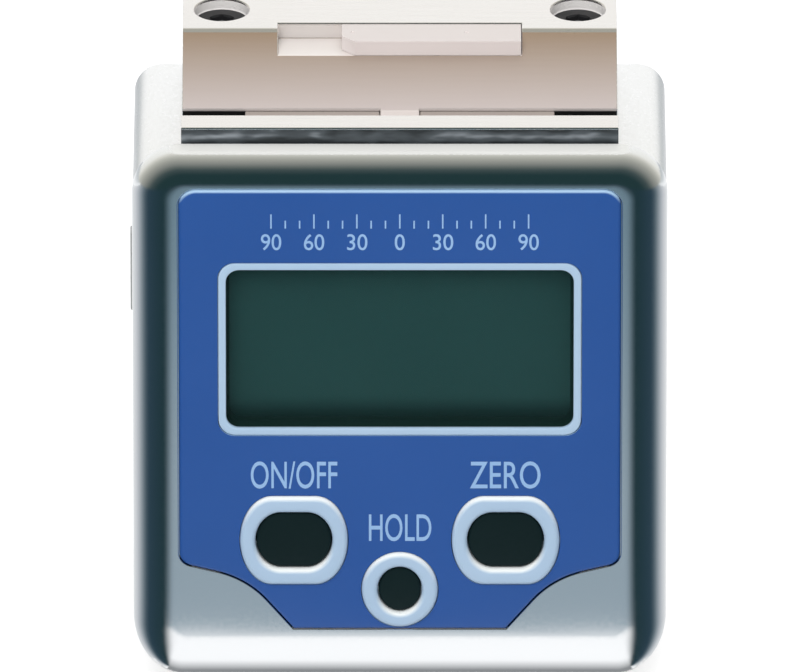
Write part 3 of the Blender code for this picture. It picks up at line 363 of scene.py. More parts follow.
roll = ROUND_DEPTH * (1 - np.cos(np.radians(np.linspace(90, 0, ROLL_STEPS))))
cover_rows = [standing(rolled(COVER_DEPTH), COVER_DEPTH)] + [standing(rolled(d), d) for d in roll]
recess = sheet_outline(RECESS_GAP)
cover_rows.append(standing(sheet_outline(RECESS_GAP + RECESS_EDGE), 0))
cover_rows.append(standing(recess, RECESS_EDGE))
cover_rows.append(standing(recess, RECESS_DEPTH))
middle = np.array([0, (TOP + BOTTOM) / 2])
opening = middle + (recess - middle) * OPENING_SHARE
cavity = frame_outline(CAVITY_HALF[0], middle[1] + CAVITY_HALF[1], middle[1] - CAVITY_HALF[1],
                       CAVITY_CORNER, CAVITY_CORNER, CAVITY_CORNER)
cover_rows += [standing(opening, RECESS_DEPTH), standing(opening, COVER_WALL), standing(cavity, COVER_WALL),
               standing(cavity, COVER_DEPTH)]
front_frame = skin("front_frame", cover_rows, closed=True)
dress(front_frame, satin_chrome, stands_for=["front_cover"])


# Face sheet. A moulded sheet with a blue printed front, glued into the recess. Its rim is rounded over and
# stands just clear of the metal; it has holes for the window and for the three rings.
SHEET_FRONT = -0.12 * MM
SHEET_BACK = 0.4 * MM
SHEET_EDGE = 0.36 * MM
EDGE_STEPS = 6
HOLE_GAP = 0.06 * MM
OVERRUN = 1 * MM
FRAME_PLAY = 0.2 * MM
WINDOW_CORNER = 1.6 * MM
# A ring's width, height and level stretch, and the width of its rim at the sides and above.
WIDE_RING = (10.1 * MM, 9.1 * MM, 4.0 * MM, 1.45 * MM, 1.65 * MM)
ROUND_RING = (7.15 * MM, 7.7 * MM, 0, 1.5 * MM, 1.5 * MM)


def prism(name, outline, near, far):
    """An outline of x and z carried straight back from one depth to another, with flat ends."""
    return skin(name, [standing(outline, near), standing(outline, far)])


def carve(piece, *tools):
    """Cuts each tool out of a piece and throws the tool away."""
    for tool in tools:
        step = piece.modifiers.new(tool.name, "BOOLEAN")
        step.operation = "DIFFERENCE"
        step.solver = "EXACT"
        step.object = tool
    bpy.context.view_layer.update()
    carved = bpy.data.meshes.new_from_object(piece.evaluated_get(bpy.context.evaluated_depsgraph_get()))
    piece.modifiers.clear()
    piece.data = carved
    for tool in tools:
        bpy.data.objects.remove(tool)
    smoothed(carved)
    return piece


def oval(width, height, flat, count=96):
    """A level top and bottom joined by half ellipses; a circle where there is no flat."""
    radii = ((width - flat) / 2, height / 2)
    return np.concatenate([arc((flat / 2, 0), radii, -90, 90, count // 2),
                           arc((-flat / 2, 0), radii, 90, 270, count // 2)])


def round_box(width, height, corner, count=10):
    """A rectangle about zero with round corners."""
    x, z = width / 2 - corner, height / 2 - corner
    return np.concatenate([arc(at, (corner, corner), start, start + 90, count)
                           for start, at in ((0, (x, z)), (90, (-x, z)), (180, (-x, -z)), (270, (x, -z)))])


window_low, window_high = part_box("window_frame")
window_middle = np.array([0, (window_low.z + window_high.z) / 2])
WINDOW = (window_high.x - window_low.x - FRAME_PLAY, window_high.z - window_low.z - FRAME_PLAY)
RINGS = {"onoff": WIDE_RING, "hold": ROUND_RING, "zero": WIDE_RING}


def ring_middle(name):
    """The middle of a key's ring: x and z."""
    low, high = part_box(f"{name}_ring")
    return np.array([(low.x + high.x) / 2, (low.z + high.z) / 2])


blue_print = finish("blue_print", (0.013, 0.079, 0.315), (0.019, 0.092, 0.350), (0.30, 0.42), grain=1800,
                    bump=0.03, depth=0.01 * MM)
tree, shader = shader_of(blue_print)
# Painted highlight: the rounded rim is painted a paler blue where it faces up.
edge_light = product(tree, worked(tree, "SUBTRACT", facing(tree)[2], 0.12), 2.5)
tinted(tree, shader, edge_light, (0.37, 0.55, 0.75))
quarter_turn = np.radians(np.linspace(0, 90, EDGE_STEPS))
edge_rows = [standing(sheet_outline(SHEET_EDGE * (math.sin(turn) - 1)),
                      SHEET_FRONT + SHEET_EDGE * (1 - math.cos(turn))) for turn in quarter_turn]
sheet = skin("blue_sheet", edge_rows + [standing(sheet_outline(0), SHEET_BACK)])
window_hole = round_box(WINDOW[0] + 2 * HOLE_GAP, WINDOW[1] + 2 * HOLE_GAP, WINDOW_CORNER) + window_middle
tools = [prism("window_hole", window_hole, -OVERRUN, OVERRUN)]
for key, (width, height, flat, _, _) in RINGS.items():
    hole = oval(width + 2 * HOLE_GAP, height + 2 * HOLE_GAP, flat) + ring_middle(key)
    tools.append(prism(f"{key}_hole", hole, -OVERRUN, OVERRUN))
carve(sheet, *tools)
dress(sheet, blue_print, stands_for=["face_sheet"])


# Window. A pale moulded frame is pressed through the sheet from the front. A black liner inside it holds a
# clear pane, whose edge sits in the frame.
FRAME_RIM = 0.72 * MM
FRAME_LEDGE = 0.3 * MM
FRAME_PROUD = 0.12 * MM
FRAME_SOFT = 0.12 * MM
LINER_FRONT = 0.25 * MM
LINER_INSET = 0.5 * MM
LEDGE_FRONT = 1.7 * MM
PANE = (0.15 * MM, 1.3 * MM)
PANE_GRIP = 0.1 * MM


def window_outline(inset):
    """The frame's outline drawn in by one amount all round."""
    corner = max(WINDOW_CORNER - inset / 2, FRAME_SOFT)
    return round_box(WINDOW[0] - 2 * inset, WINDOW[1] - 2 * inset, corner) + window_middle


pale_blue = finish("pale_blue", (0.40, 0.56, 0.74), (0.45, 0.60, 0.77), (0.32, 0.42), grain=2200, bump=0.03,
                   depth=0.01 * MM)
soft = FRAME_SOFT * (1 - np.cos(quarter_turn))
rise = FRAME_SOFT * (1 - np.sin(quarter_turn))
rim_profile = [(0, COVER_WALL)]
rim_profile += [(inset, height - FRAME_PROUD) for inset, height in zip(soft, rise)]
rim_profile += [(FRAME_RIM - inset, height - FRAME_PROUD) for inset, height in zip(soft[::-1], rise[::-1])]
rim_profile += [(FRAME_RIM, LINER_FRONT), (LINER_INSET, LINER_FRONT), (LINER_INSET, COVER_WALL)]
rim = skin("window_rim", [standing(window_outline(inset), depth) for inset, depth in rim_profile],
           closed=True)
dress(rim, pale_blue, stands_for=["window_frame"])

# The liner is a black part, and its green-black with no reflection is also painted shade for the well round
# the display.
matt_black_shade = finish("matt_black_shade", (0.006, 0.022, 0.019), (0.009, 0.028, 0.024), (0.75, 0.85), bump=0.0,
                    Specular_IOR_Level=0.0)
liner_profile = [(LINER_INSET, LINER_FRONT), (FRAME_RIM, LINER_FRONT), (FRAME_RIM, LEDGE_FRONT),
                 (FRAME_RIM + FRAME_LEDGE, LEDGE_FRONT), (FRAME_RIM + FRAME_LEDGE, COVER_WALL),
                 (LINER_INSET, COVER_WALL)]
liner = skin("window_liner", [standing(window_outline(inset), depth) for inset, depth in liner_profile],
             closed=True)
dress(liner, matt_black_shade, stands_for=["window_frame"])

clear_pane = finish("clear_pane", (0.010, 0.030, 0.030), (0.014, 0.036, 0.036), (0.02, 0.05), grain=500,
                    bump=0.0, Alpha=0.12)
pane = skin("clear_pane", [standing(window_outline(FRAME_RIM - PANE_GRIP), depth) for depth in PANE])
dress(pane, clear_pane, stands_for=["window_lens"])


# Display. A dark green liquid crystal glass, switched off, over a grey reflector, in a black holder, with a
# rubber strip that carries its contacts down to the board. A painted shadow of the deep frame darkens the
# glass along its foot.
DARK_FOOT = (0.9 * MM, 3.3 * MM)
display_green = finish("display_green", (0.0215, 0.074, 0.073), (0.0265, 0.088, 0.084), (0.16, 0.26),
                       grain=400, bump=0.0, Specular_IOR_Level=0.06)
tree, shader = shader_of(display_green)
# Painted shadow: the glass is painted darker over its lowest few millimetres, where the deep frame shades it.
above_foot = eased(tree, places(tree)[2], window_low.z + DARK_FOOT[0], window_low.z + DARK_FOOT[1])
tree.links.new(mixed(tree, above_foot, (0.0070, 0.0290, 0.0270), source(shader, "Base Color")),
               shader.inputs["Base Color"])
display_grey = finish("display_grey", (0.50, 0.56, 0.48), (0.60, 0.66, 0.57), (0.5, 0.65))
black_plastic = finish("black_plastic", (0.010, 0.012, 0.013), (0.018, 0.020, 0.021), (0.40, 0.55), bump=0.08)
black_rubber = finish("black_rubber", (0.0045, 0.0145, 0.0155), (0.0065, 0.0180, 0.0195), (0.50, 0.66),
                      grain=1500, bump=0.08, Specular_IOR_Level=0.12)


def wear(surface, *nodes):
    """Gives CAD nodes that stay in sight their surface."""
    for node in nodes:
        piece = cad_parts[node]
        piece.data.materials.clear()
        piece.data.materials.append(surface)


wear(display_green, "lcd_glass")
wear(display_grey, "lcd_reflector")
wear(black_plastic, "lcd_holder")
wear(black_rubber, "contact_strip")


# Keys. Each is a black rubber cap set in a pale ring that is pressed into the sheet. A flange holds the cap
# behind the cover's wall, and its stem pushes a snap dome on the board.
RING_PROUD = 0.5 * MM
RING_DEPTH = 1.1 * MM
RING_SOFT = 0.48 * MM
OPENING_FLAT_SHARE = 0.6
KEY_GAP = 0.08 * MM
KEY_RECESS = -0.1 * MM
KEY_SOFT = 0.3 * MM
KEY_CROWN = 0.2 * MM
KEY_BACK = 3.9 * MM
KEY_STEM = 1.8 * MM
FLANGE_LIP = 0.6 * MM
FLANGE_FRONT = COVER_WALL + 0.3 * MM
FLANGE_BACK = COVER_WALL + 0.9 * MM
CROWN_STEPS = 10

pale_ring = finish("pale_ring", (0.40, 0.55, 0.73), (0.45, 0.60, 0.77), (0.28, 0.38), grain=2200, bump=0.03,
                   depth=0.01 * MM)
tree, shader = shader_of(pale_ring)
# Painted highlight: the ring is painted whiter where it faces up.
upward_highlight = product(tree, worked(tree, "SUBTRACT", facing(tree)[2], 0.1), 1.8)
tinted(tree, shader, upward_highlight, (0.86, 0.90, 0.90))
steel_dome = finish("steel_dome", (0.62, 0.55, 0.34), (0.76, 0.68, 0.44), (0.25, 0.4), 1.0)
for key, (width, height, flat, rim_x, rim_z) in RINGS.items():
    place = ring_middle(key)

    def key_outline(inset_share, grow=0.0):
        """The ring's outline drawn in towards its opening by a share of its rim, and grown."""
        level = flat * (1 + (OPENING_FLAT_SHARE - 1) * inset_share)
        return oval(width - 2 * rim_x * inset_share + 2 * grow, height - 2 * rim_z * inset_share + 2 * grow,
                    level) + place

    profile = [(0, 0, RING_DEPTH)]
    for share, side, turns in ((0, -1, quarter_turn), (1, 1, quarter_turn[::-1])):
        profile += [(share, side * RING_SOFT * (1 - math.cos(a)), RING_SOFT * (1 - math.sin(a)) - RING_PROUD)
                    for a in turns]
    profile.append((1, 0, RING_DEPTH))
    ring = skin(f"{key}_pale_ring",
                [standing(key_outline(share, grow), depth) for share, grow, depth in profile], closed=True)
    dress(ring, pale_ring, stands_for=[f"{key}_ring"])

    crown_edge = key_outline(1, -KEY_GAP - KEY_SOFT) - place
    stem = oval(KEY_STEM, KEY_STEM, 0) + place
    cap_rows = [standing(crown_edge * share + place, KEY_RECESS - KEY_CROWN * (1 - share**2))
                for share in np.linspace(0, 1, CROWN_STEPS)[1:]]
    cap_rows += [standing(key_outline(1, -KEY_GAP - KEY_SOFT * (1 - math.sin(a))),
                          KEY_RECESS + KEY_SOFT * (1 - math.cos(a))) for a in quarter_turn[1:]]
    cap_rows += [standing(key_outline(1, -KEY_GAP), FLANGE_FRONT),
                 standing(key_outline(1, FLANGE_LIP), FLANGE_FRONT),
                 standing(key_outline(1, FLANGE_LIP), FLANGE_BACK),
                 standing(stem, FLANGE_BACK), standing(stem, KEY_BACK)]
    cap = skin(f"{key}_rubber_cap", cap_rows)
    dress(cap, black_rubber, body=f"{key}_key", stands_for=[f"{key}_key"])
    wear(steel_dome, f"{key}_dome")


# Lettering. Plain words for what the keys do and an angle scale with figures over the window, all printed on
# the sheet in the same pale ink.
INK_DEPTH = 0.03 * MM
INK_MIDDLE = FACE + SHEET_FRONT
WORD_HEIGHT = 2.9 * MM
WORDS = {"onoff": ("ON/OFF", 8.1 * MM, 6.85 * MM), "zero": ("ZERO", 6.6 * MM, 6.85 * MM),
         "hold": ("HOLD", 5.85 * MM, 6.5 * MM)}
BOLDNESS_SHARE = 0.004
FIGURE_HEIGHT = 1.7 * MM
FIGURE_WIDTH = 0.95 * MM
FIGURE_DROP = 1.35 * MM
CAPITAL_SHARE = 0.73
SCALE_RISE = 49.1 * MM
SCALE_HALF = 12.0 * MM
SCALE_END = 90
TICK_ANGLE = 10
LONG_TICK_ANGLE = 30
TICK_WIDTH = 0.14 * MM
SHORT_TICK = 0.8 * MM
LONG_TICK = 1.45 * MM

pale_ink = finish("pale_ink", (0.27, 0.46, 0.76), (0.33, 0.52, 0.80), (0.35, 0.45), grain=2200, bump=0.03,
                  depth=0.01 * MM)


def printed(name, words, middle, height, width):
    """Plain capitals or figures stood up on the sheet with their middle over a point. They are stretched to
    the height of a capital and drawn in to one width."""
    letters = bpy.data.curves.new(name, "FONT")
    letters.body = words
    letters.align_x = "CENTER"
    letters.extrude = 0.5
    letters.offset = BOLDNESS_SHARE
    letters.resolution_u = 6
    pen = placed(name, letters)
    bpy.context.view_layer.update()
    drawn = bpy.data.meshes.new_from_object(pen.evaluated_get(bpy.context.evaluated_depsgraph_get()))
    bpy.data.objects.remove(pen)
    tall = height / CAPITAL_SHARE
    wide = width / (max(v.co.x for v in drawn.vertices) - min(v.co.x for v in drawn.vertices))
    drawn.transform(Matrix.Translation((middle[0], INK_MIDDLE, middle[1] - height / 2))
                    @ Matrix.Rotation(math.pi / 2, 4, "X") @ Matrix.Diagonal((wide, tall, INK_DEPTH, 1)))
    return dress(placed(name, drawn), pale_ink)


for key, (words, width, rise) in WORDS.items():
    printed(f"{key}_word", words, ring_middle(key) + (0, rise), WORD_HEIGHT, width)

scale_angles = range(-SCALE_END, SCALE_END + 1, TICK_ANGLE)
ticks = bmesh.new()
for angle in scale_angles:
    tall = SHORT_TICK if angle % LONG_TICK_ANGLE else LONG_TICK
    size = Matrix.Diagonal((TICK_WIDTH, INK_DEPTH, tall, 1))
    place = Matrix.Translation((SCALE_HALF * angle / SCALE_END, INK_MIDDLE, SCALE_RISE + tall / 2))
    bmesh.ops.create_cube(ticks, size=1, matrix=place @ size)
mesh = bpy.data.meshes.new("angle_scale")
ticks.to_mesh(mesh)
ticks.free()
dress(placed("angle_scale", mesh), pale_ink)
for step, angle in enumerate(scale_angles):
    if angle % LONG_TICK_ANGLE == 0:
        figure = str(abs(angle))
        printed(f"figure_{step}", figure, (SCALE_HALF * angle / SCALE_END, SCALE_RISE - FIGURE_DROP),
                FIGURE_HEIGHT, FIGURE_WIDTH * len(figure))


# Board. Green solder mask over glass cloth, with a chip, a tilt sensor, a can crystal and a capacitor. Four
# small screws hold it to the cover.
CORNERS = ("bottom_left", "bottom_right", "top_left", "top_right")
board_green = finish("board_green", (0.008, 0.085, 0.035), (0.020, 0.150, 0.060), (0.3, 0.45), grain=1200,
                     bump=0.1)
chip_black = finish("chip_black", (0.012, 0.012, 0.013), (0.022, 0.022, 0.023), (0.5, 0.65), bump=0.1)
bright_steel = finish("bright_steel", (0.56, 0.56, 0.57), (0.66, 0.66, 0.66), (0.22, 0.34), 1.0, grain=1500)
wear(board_green, "circuit_board")
wear(chip_black, "controller_chip", "tilt_sensor", "capacitor")
wear(bright_steel, "crystal", *(f"board_screw_{corner}" for corner in CORNERS))


# Case. An aluminium shell, bead blasted and clear anodised, with a round column at each corner that a long
# screw passes through from a deep hole in the back, and a slot in its left side for the cell tray.
case_low, case_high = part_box("rear_case")
CASE_FRONT = case_low.y - FACE
CASE_BACK = case_high.y - FACE
CASE_CORNER = 2.7 * MM
CASE_ROUND = 0.7 * MM
CASE_WALL = 2.0 * MM
COLUMN_RADIUS = 2.6 * MM
WELL_RADIUS = 1.8 * MM
WELL_DEPTH = 9.0 * MM
LIP_FRONT = COVER_DEPTH + 0.02 * MM
LIP_INSET = 0.6 * MM
CASE_BREAK = 0.1 * MM
SLOT_GAP = 0.25 * MM
SLOT_CORNER = 0.5 * MM
WELL_SIDES = 48
case_middle = np.array([0, (case_low.z + case_high.z) / 2])


def case_outline(inset, corner):
    """The case's outline drawn in all round, with corners of one radius."""
    height = (case_high.z - case_low.z) / 2 - inset
    return frame_outline(RIGHT - inset, case_middle[1] + height, case_middle[1] - height,
                         corner, corner, corner)


def cavity_outline():
    """The inside of the case: straight walls that give way to the round columns at the corners."""
    right, top = RIGHT - CASE_WALL, case_high.z - CASE_WALL
    x, z = RIGHT - CASE_CORNER, case_high.z - CASE_CORNER
    bite = math.degrees(math.acos((right - x) / COLUMN_RADIUS))
    lift = math.degrees(math.asin((top - z) / COLUMN_RADIUS))
    high = arc((x, z), (COLUMN_RADIUS, COLUMN_RADIUS), 180 - lift, 360 - bite)
    low = high[::-1] * (1, -1) + (0, 2 * case_middle[1])
    return mirrored([[(0, top), high[0]], high, [high[-1], low[0]], low, [low[-1], (0, low[-1, 1])]])


case_silver = finish("case_silver", (0.72, 0.735, 0.75), (0.80, 0.815, 0.83), (0.26, 0.38), 1.0, grain=3500,
                     bump=0.16, depth=0.01 * MM)
tree, shader = shader_of(case_silver)
# Painted highlight: the shell is painted white where it faces up.
tinted(tree, shader, eased(tree, facing(tree)[2], 0.3, 0.9), (1.0, 1.0, 1.0))
hollow = cavity_outline()
lip = case_outline(LIP_INSET, CASE_CORNER - LIP_INSET)
case_rows = [standing(hollow, CASE_BACK - CASE_WALL), standing(hollow, LIP_FRONT), standing(lip, LIP_FRONT),
             standing(lip, CASE_FRONT), standing(case_outline(CASE_BREAK, CASE_CORNER), CASE_FRONT),
             standing(case_outline(0, CASE_CORNER), CASE_FRONT + CASE_BREAK)]
for turn in quarter_turn:
    inset = CASE_ROUND * (1 - math.cos(turn))
    case_rows.append(standing(case_outline(inset, CASE_CORNER - inset),
                              CASE_BACK - CASE_ROUND * (1 - math.sin(turn))))
shell = skin("case_shell", case_rows)
tray_low, tray_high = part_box("battery_tray")
slot_size = (tray_high.y - tray_low.y + 2 * SLOT_GAP, tray_high.z - tray_low.z + 2 * SLOT_GAP)
slot_middle = np.array([(tray_high.y + tray_low.y) / 2, (tray_high.z + tray_low.z) / 2])


def lying(outline, x):
    """An outline of y and z at one x."""
    return np.stack([np.full(len(outline), x), outline[:, 0], outline[:, 1]], 1)


def upright(outline, z):
    """An outline of x and y at one height."""
    return np.stack([outline[:, 0], outline[:, 1], np.full(len(outline), z)], 1)


slot_outline = round_box(*slot_size, SLOT_CORNER) + slot_middle
tools = [skin("tray_slot", [lying(slot_outline, -RIGHT - OVERRUN),
                            lying(slot_outline, CASE_WALL + OVERRUN - RIGHT)])]
for x in (CASE_CORNER - RIGHT, RIGHT - CASE_CORNER):
    for z in (case_low.z + CASE_CORNER, case_high.z - CASE_CORNER):
        well = oval(2 * WELL_RADIUS, 2 * WELL_RADIUS, 0, WELL_SIDES) + (x, z)
        tools.append(prism("screw_well", well, WELL_DEPTH, CASE_BACK + OVERRUN))
carve(shell, *tools)
dress(shell, case_silver, stands_for=["rear_case"])


# Cell bay and tray. The tray is grey nylon with a lip for a fingernail on its end, and the coin cell lies in
# its round pocket. It slides in a black nylon bay, past two sprung contacts that wires join to the board.
TRAY_CORNER = 0.3 * MM
TRAY_EDGE = 0.12 * MM
TRAY_FLOOR = 1.1 * MM
TRAY_WINDOW = 10.0 * MM
POCKET_PLAY = 0.3 * MM
LIP_SIZE = (1.6 * MM, 8.25 * MM)
LIP_ROOT = 0.2 * MM
BREAK_ANGLE = math.radians(25)
CELL_SIDES = 128
# The cell from the middle of its back to its front: how far in from its side, and how far from its back.
CELL_PROFILE = MM * np.array([
    (0.6, 0), (0.28, 0.06), (0.08, 0.22), (0, 0.5), (0, 2.55), (0.07, 2.75), (0.25, 2.86), (0.5, 2.88),
    (0.7, 2.82), (0.75, 2.65), (0.9, 2.65), (0.95, 2.95), (1.1, 3.12), (1.4, 3.2)])


def softened(piece, width):
    """Breaks a piece's sharp edges with a narrow bevel."""
    edge = piece.modifiers.new("broken_edges", "BEVEL")
    edge.width = width
    edge.segments = 2
    edge.limit_method = "ANGLE"
    edge.angle_limit = BREAK_ANGLE
    edge.harden_normals = True
    return piece


nylon = finish("nylon", (0.016, 0.018, 0.020), (0.028, 0.030, 0.033), (0.38, 0.5), grain=1600, bump=0.12)
cell_steel = finish("cell_steel", (0.62, 0.62, 0.61), (0.70, 0.70, 0.69), (0.30, 0.40), 0.7, grain=1200,
                    depth=0.01 * MM)
spring_brass = finish("spring_brass", (0.62, 0.52, 0.28), (0.78, 0.66, 0.38), (0.25, 0.35), 1.0)
wire_red = finish("wire_red", (0.35, 0.015, 0.012), (0.45, 0.025, 0.02), (0.4, 0.5))
wire_black = finish("wire_black", (0.012, 0.012, 0.012), (0.02, 0.02, 0.02), (0.4, 0.5))
grey_nylon = finish("grey_nylon", (0.42, 0.43, 0.43), (0.48, 0.49, 0.49), (0.38, 0.5), grain=1600, bump=0.12)
wear(nylon, "battery_bay")
wear(spring_brass, "positive_contact", "negative_contact")
wear(wire_red, "positive_wire")
wear(wire_black, "negative_wire")
wear(bright_steel, *(f"cover_screw_{corner}" for corner in CORNERS))

cell_low, cell_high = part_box("coin_cell")
cell_middle = np.array([(cell_low.x + cell_high.x) / 2, (cell_low.z + cell_high.z) / 2])
cell_width = cell_high.z - cell_low.z


def cell_circle(grow):
    """A circle round the cell's middle, wider than the cell by twice an amount."""
    return oval(cell_width + 2 * grow, cell_width + 2 * grow, 0, CELL_SIDES) + cell_middle


tray_front, tray_back = tray_low.y - FACE, tray_high.y - FACE
tray_outline = round_box(tray_high.x + RIGHT, tray_high.z - tray_low.z, TRAY_CORNER)
tray_middle = ((tray_high.x - RIGHT) / 2, slot_middle[1])
drawer = prism("tray_drawer", tray_outline + tray_middle, tray_front, tray_back)
floor_window = oval(TRAY_WINDOW, TRAY_WINDOW, 0) + cell_middle
carve(drawer, prism("pocket", cell_circle(POCKET_PLAY), tray_front - OVERRUN, tray_back - TRAY_FLOOR),
      prism("floor_window", floor_window, tray_back - TRAY_FLOOR - OVERRUN, tray_back + OVERRUN))
softened(drawer, TRAY_EDGE)
dress(drawer, grey_nylon, "battery_tray", ["battery_tray"])
lip_outline = round_box(*LIP_SIZE, TRAY_CORNER) + slot_middle
nail_lip = skin("tray_nail_lip", [lying(lip_outline, tray_low.x), lying(lip_outline, LIP_ROOT - RIGHT)])
softened(nail_lip, TRAY_EDGE)
dress(nail_lip, grey_nylon, "battery_tray", ["battery_tray"])
cell = skin("steel_coin_cell", [
    standing(cell_circle(-inset), cell_high.y - FACE - rise) for inset, rise in CELL_PROFILE])
dress(cell, cell_steel, "battery_tray", ["coin_cell"])


# V bars. Ground steel, one on top of the case and its twin underneath: two flat lands and a V groove. A
# relief slot along the groove's floor and a pocket in its far edge hold magnets. Two screws hold each bar.
LAND_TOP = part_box("top_v_bar")[1].z
BAR_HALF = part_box("top_v_bar")[1].x
BAR_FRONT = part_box("top_v_bar")[0].y
BAR_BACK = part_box("top_v_bar")[1].y
BAR_THICKNESS = 7.2 * MM
NEAR_LAND = 2.8 * MM
FAR_LAND = 8.0 * MM
GROOVE_FLAT = 3.2 * MM
GROOVE_DEPTH = 4.76 * MM
RELIEF_WIDTH = 3.6 * MM
RELIEF_DEPTH = 0.8 * MM
RELIEF_WEB = 3.7 * MM
POCKET_HALF = 11.45 * MM
POCKET_DEPTH = 1.57 * MM
POCKET_FRONT = 4 * MM
POCKET_BACK = 1.2 * MM
BAR_EDGE = 0.12 * MM
EDGE_SHINE = 0.2 * MM
STREAK_DEPTH = 0.85 * MM
SLOT_MAGNET_OUT = 14.5 * MM
SLOT_MAGNET_SUNK = 0.1 * MM
SLOT_MAGNET_SEAT = 0.05 * MM
SLOT_MAGNET_GAP = 0.1 * MM
MAGNET_EDGE = 0.1 * MM
EDGE_MAGNET_CLIP = 1.2 * MM
EDGE_MAGNET_DIMPLES = (-4.4 * MM, 6.3 * MM)
DIMPLE = 0.2 * MM
DIMPLE_SIDES = 16
SCREW_SUNK = 1.1 * MM
SCREW_SIDES = 72
BORE_SIDES = 48
# The bore for a screw, from over the land to its end: radius and height over the land.
BORE_PROFILE = [(2.6 * MM, OVERRUN), (2.6 * MM, -SCREW_SUNK), (1.7 * MM, -SCREW_SUNK - 1.4 * MM),
                (1.7 * MM, -9 * MM)]
# A screw from its tip to its socket's floor: radius and height over its head's top. Two rows are the socket.
SCREW_PROFILE = MM * np.array([
    (1.5, -9), (1.5, -1.2), (2.5, -0.25), (2.5, -0.08), (2.42, 0), (1.3, 0), (1.1, -0.15), (1.1, -0.9),
    (0.2, -1.0)])
SOCKET_ROWS = (6, 7)
SOCKET_FLOOR = MM * np.array([(1.05, -0.9), (1.05, -0.55)])
groove_front = BAR_FRONT + NEAR_LAND
groove_back = BAR_BACK - FAR_LAND
groove_middle = (groove_front + groove_back) / 2

ground_steel = finish("ground_steel", (0.93, 0.90, 0.88), (0.97, 0.94, 0.92), (0.20, 0.30), grain=2600,
                      stretch=(0.06, 1, 1), bump=0.10, depth=0.01 * MM)
tree, shader = shader_of(ground_steel)
across, deep, height = places(tree)
side_on, front_on, top_on = (worked(tree, "ABSOLUTE", way) for way in facing(tree))
below_land = worked(tree, "MINIMUM", height, worked(tree, "SUBTRACT", LAND_TOP, height))


def within(tree, value, low, high):
    """One where a value lies between two others, and zero elsewhere."""
    return product(tree, worked(tree, "GREATER_THAN", value, low), worked(tree, "LESS_THAN", value, high))


# Inside the groove and the pocket, the slopes and the level parts each change tone on the way down: painted
# shade and reflection. The slopes are painted dark tan near the lands, lighter towards the floor, the level
# parts darker with depth, and the relief slot near black as painted shadow.
inside = product(tree, within(tree, deep, groove_front - BAR_EDGE, groove_back + POCKET_BACK + BAR_EDGE),
                 worked(tree, "GREATER_THAN", below_land, 2 * BAR_EDGE),
                 worked(tree, "LESS_THAN", side_on, 0.5))
slope = product(tree, inside, within(tree, top_on, 0.5, 0.95))
slot = product(tree, inside, worked(tree, "GREATER_THAN", below_land, GROOVE_DEPTH + BAR_EDGE))
share = worked(tree, "DIVIDE", below_land, GROOVE_DEPTH)
slope_shade_tone = mixed(tree, share, (0.37, 0.265, 0.18), (0.68, 0.60, 0.585))
level_shade_tone = mixed(tree, share, (0.98, 0.93, 0.90), (0.80, 0.74, 0.72))
tone = mixed(tree, inside, source(shader, "Base Color"), level_shade_tone)
tone = mixed(tree, slope, tone, slope_shade_tone)
tone = mixed(tree, slot, tone, (0.02, 0.02, 0.02))

# Painted shade and highlight: the bar's front is painted dark under its edge, with a painted broken streak of
# light along it.
front = product(tree, within(tree, deep, BAR_FRONT - BAR_EDGE, BAR_FRONT + BAR_EDGE),
                worked(tree, "GREATER_THAN", below_land, EDGE_SHINE),
                worked(tree, "GREATER_THAN", front_on, 0.5))
streak_noise = noise(tree, (0.3, 1, 1), 900, 2)
outward = product(tree, worked(tree, "ABSOLUTE", across), 6)
off_streak = worked(tree, "ABSOLUTE", worked(tree, "SUBTRACT", below_land, STREAK_DEPTH))
glint = worked(tree, "SUBTRACT", worked(tree, "ADD", streak_noise, outward), product(tree, off_streak, 300))
front_shade_and_glint = ramp(tree, glint, [
    (0.30, (0.030, 0.036, 0.040)), (0.52, (0.085, 0.100, 0.112)), (0.72, (0.30, 0.33, 0.36))])
tree.links.new(mixed(tree, front, tone, front_shade_and_glint), shader.inputs["Base Color"])

# The groove, the screws' bores and the front mirror less than the ground lands do.
bore = product(tree, within(tree, deep, groove_back + POCKET_BACK + BAR_EDGE, BAR_BACK - 2 * BAR_EDGE),
               worked(tree, "GREATER_THAN", below_land, 2 * BAR_EDGE),
               worked(tree, "LESS_THAN", worked(tree, "ABSOLUTE", across), BAR_HALF - 2 * BAR_EDGE))
dull = worked(tree, "ADD", product(tree, inside, 0.45), product(tree, bore, 0.9))
metal = worked(tree, "SUBTRACT", worked(tree, "SUBTRACT", 1, dull), product(tree, front, 0.85))
tree.links.new(metal, shader.inputs["Metallic"])
roughness = worked(tree, "ADD", source(shader, "Roughness"), product(tree, inside, 0.2))
roughness = worked(tree, "ADD", roughness, product(tree, front, 0.3))
tree.links.new(roughness, shader.inputs["Roughness"])

nickel = finish("nickel", (0.85, 0.78, 0.765), (0.91, 0.84, 0.825), (0.30, 0.40), 0.15, grain=900, bump=0.06)
tree, shader = shader_of(nickel)
# Painted shade: the magnet is painted darker where it faces up or down than on its front.
tinted(tree, shader, eased(tree, worked(tree, "ABSOLUTE", facing(tree)[2]), 0.4, 0.9), (0.60, 0.55, 0.53))
brown_nickel = finish("brown_nickel", (0.33, 0.28, 0.25), (0.43, 0.375, 0.35), (0.35, 0.45), 0.35, grain=900,
                      bump=0.06)
black_steel = finish("black_steel", (0.012, 0.012, 0.013), (0.024, 0.024, 0.026), (0.28, 0.42), 0.2,
                     grain=1500, bump=0.10, Specular_IOR_Level=0.25)
socket_steel = finish("socket_steel", (0.14, 0.14, 0.145), (0.20, 0.20, 0.205), (0.45, 0.6), 0.3, grain=1500,
                      bump=0.12)


def block(name, corner, opposite):
    """A box between two opposite corners."""
    low, high = np.minimum(corner, opposite), np.maximum(corner, opposite)
    outline = np.array([(low[0], low[1]), (high[0], low[1]), (high[0], high[1]), (low[0], high[1])])
    return skin(name, [upright(outline, low[2]), upright(outline, high[2])])


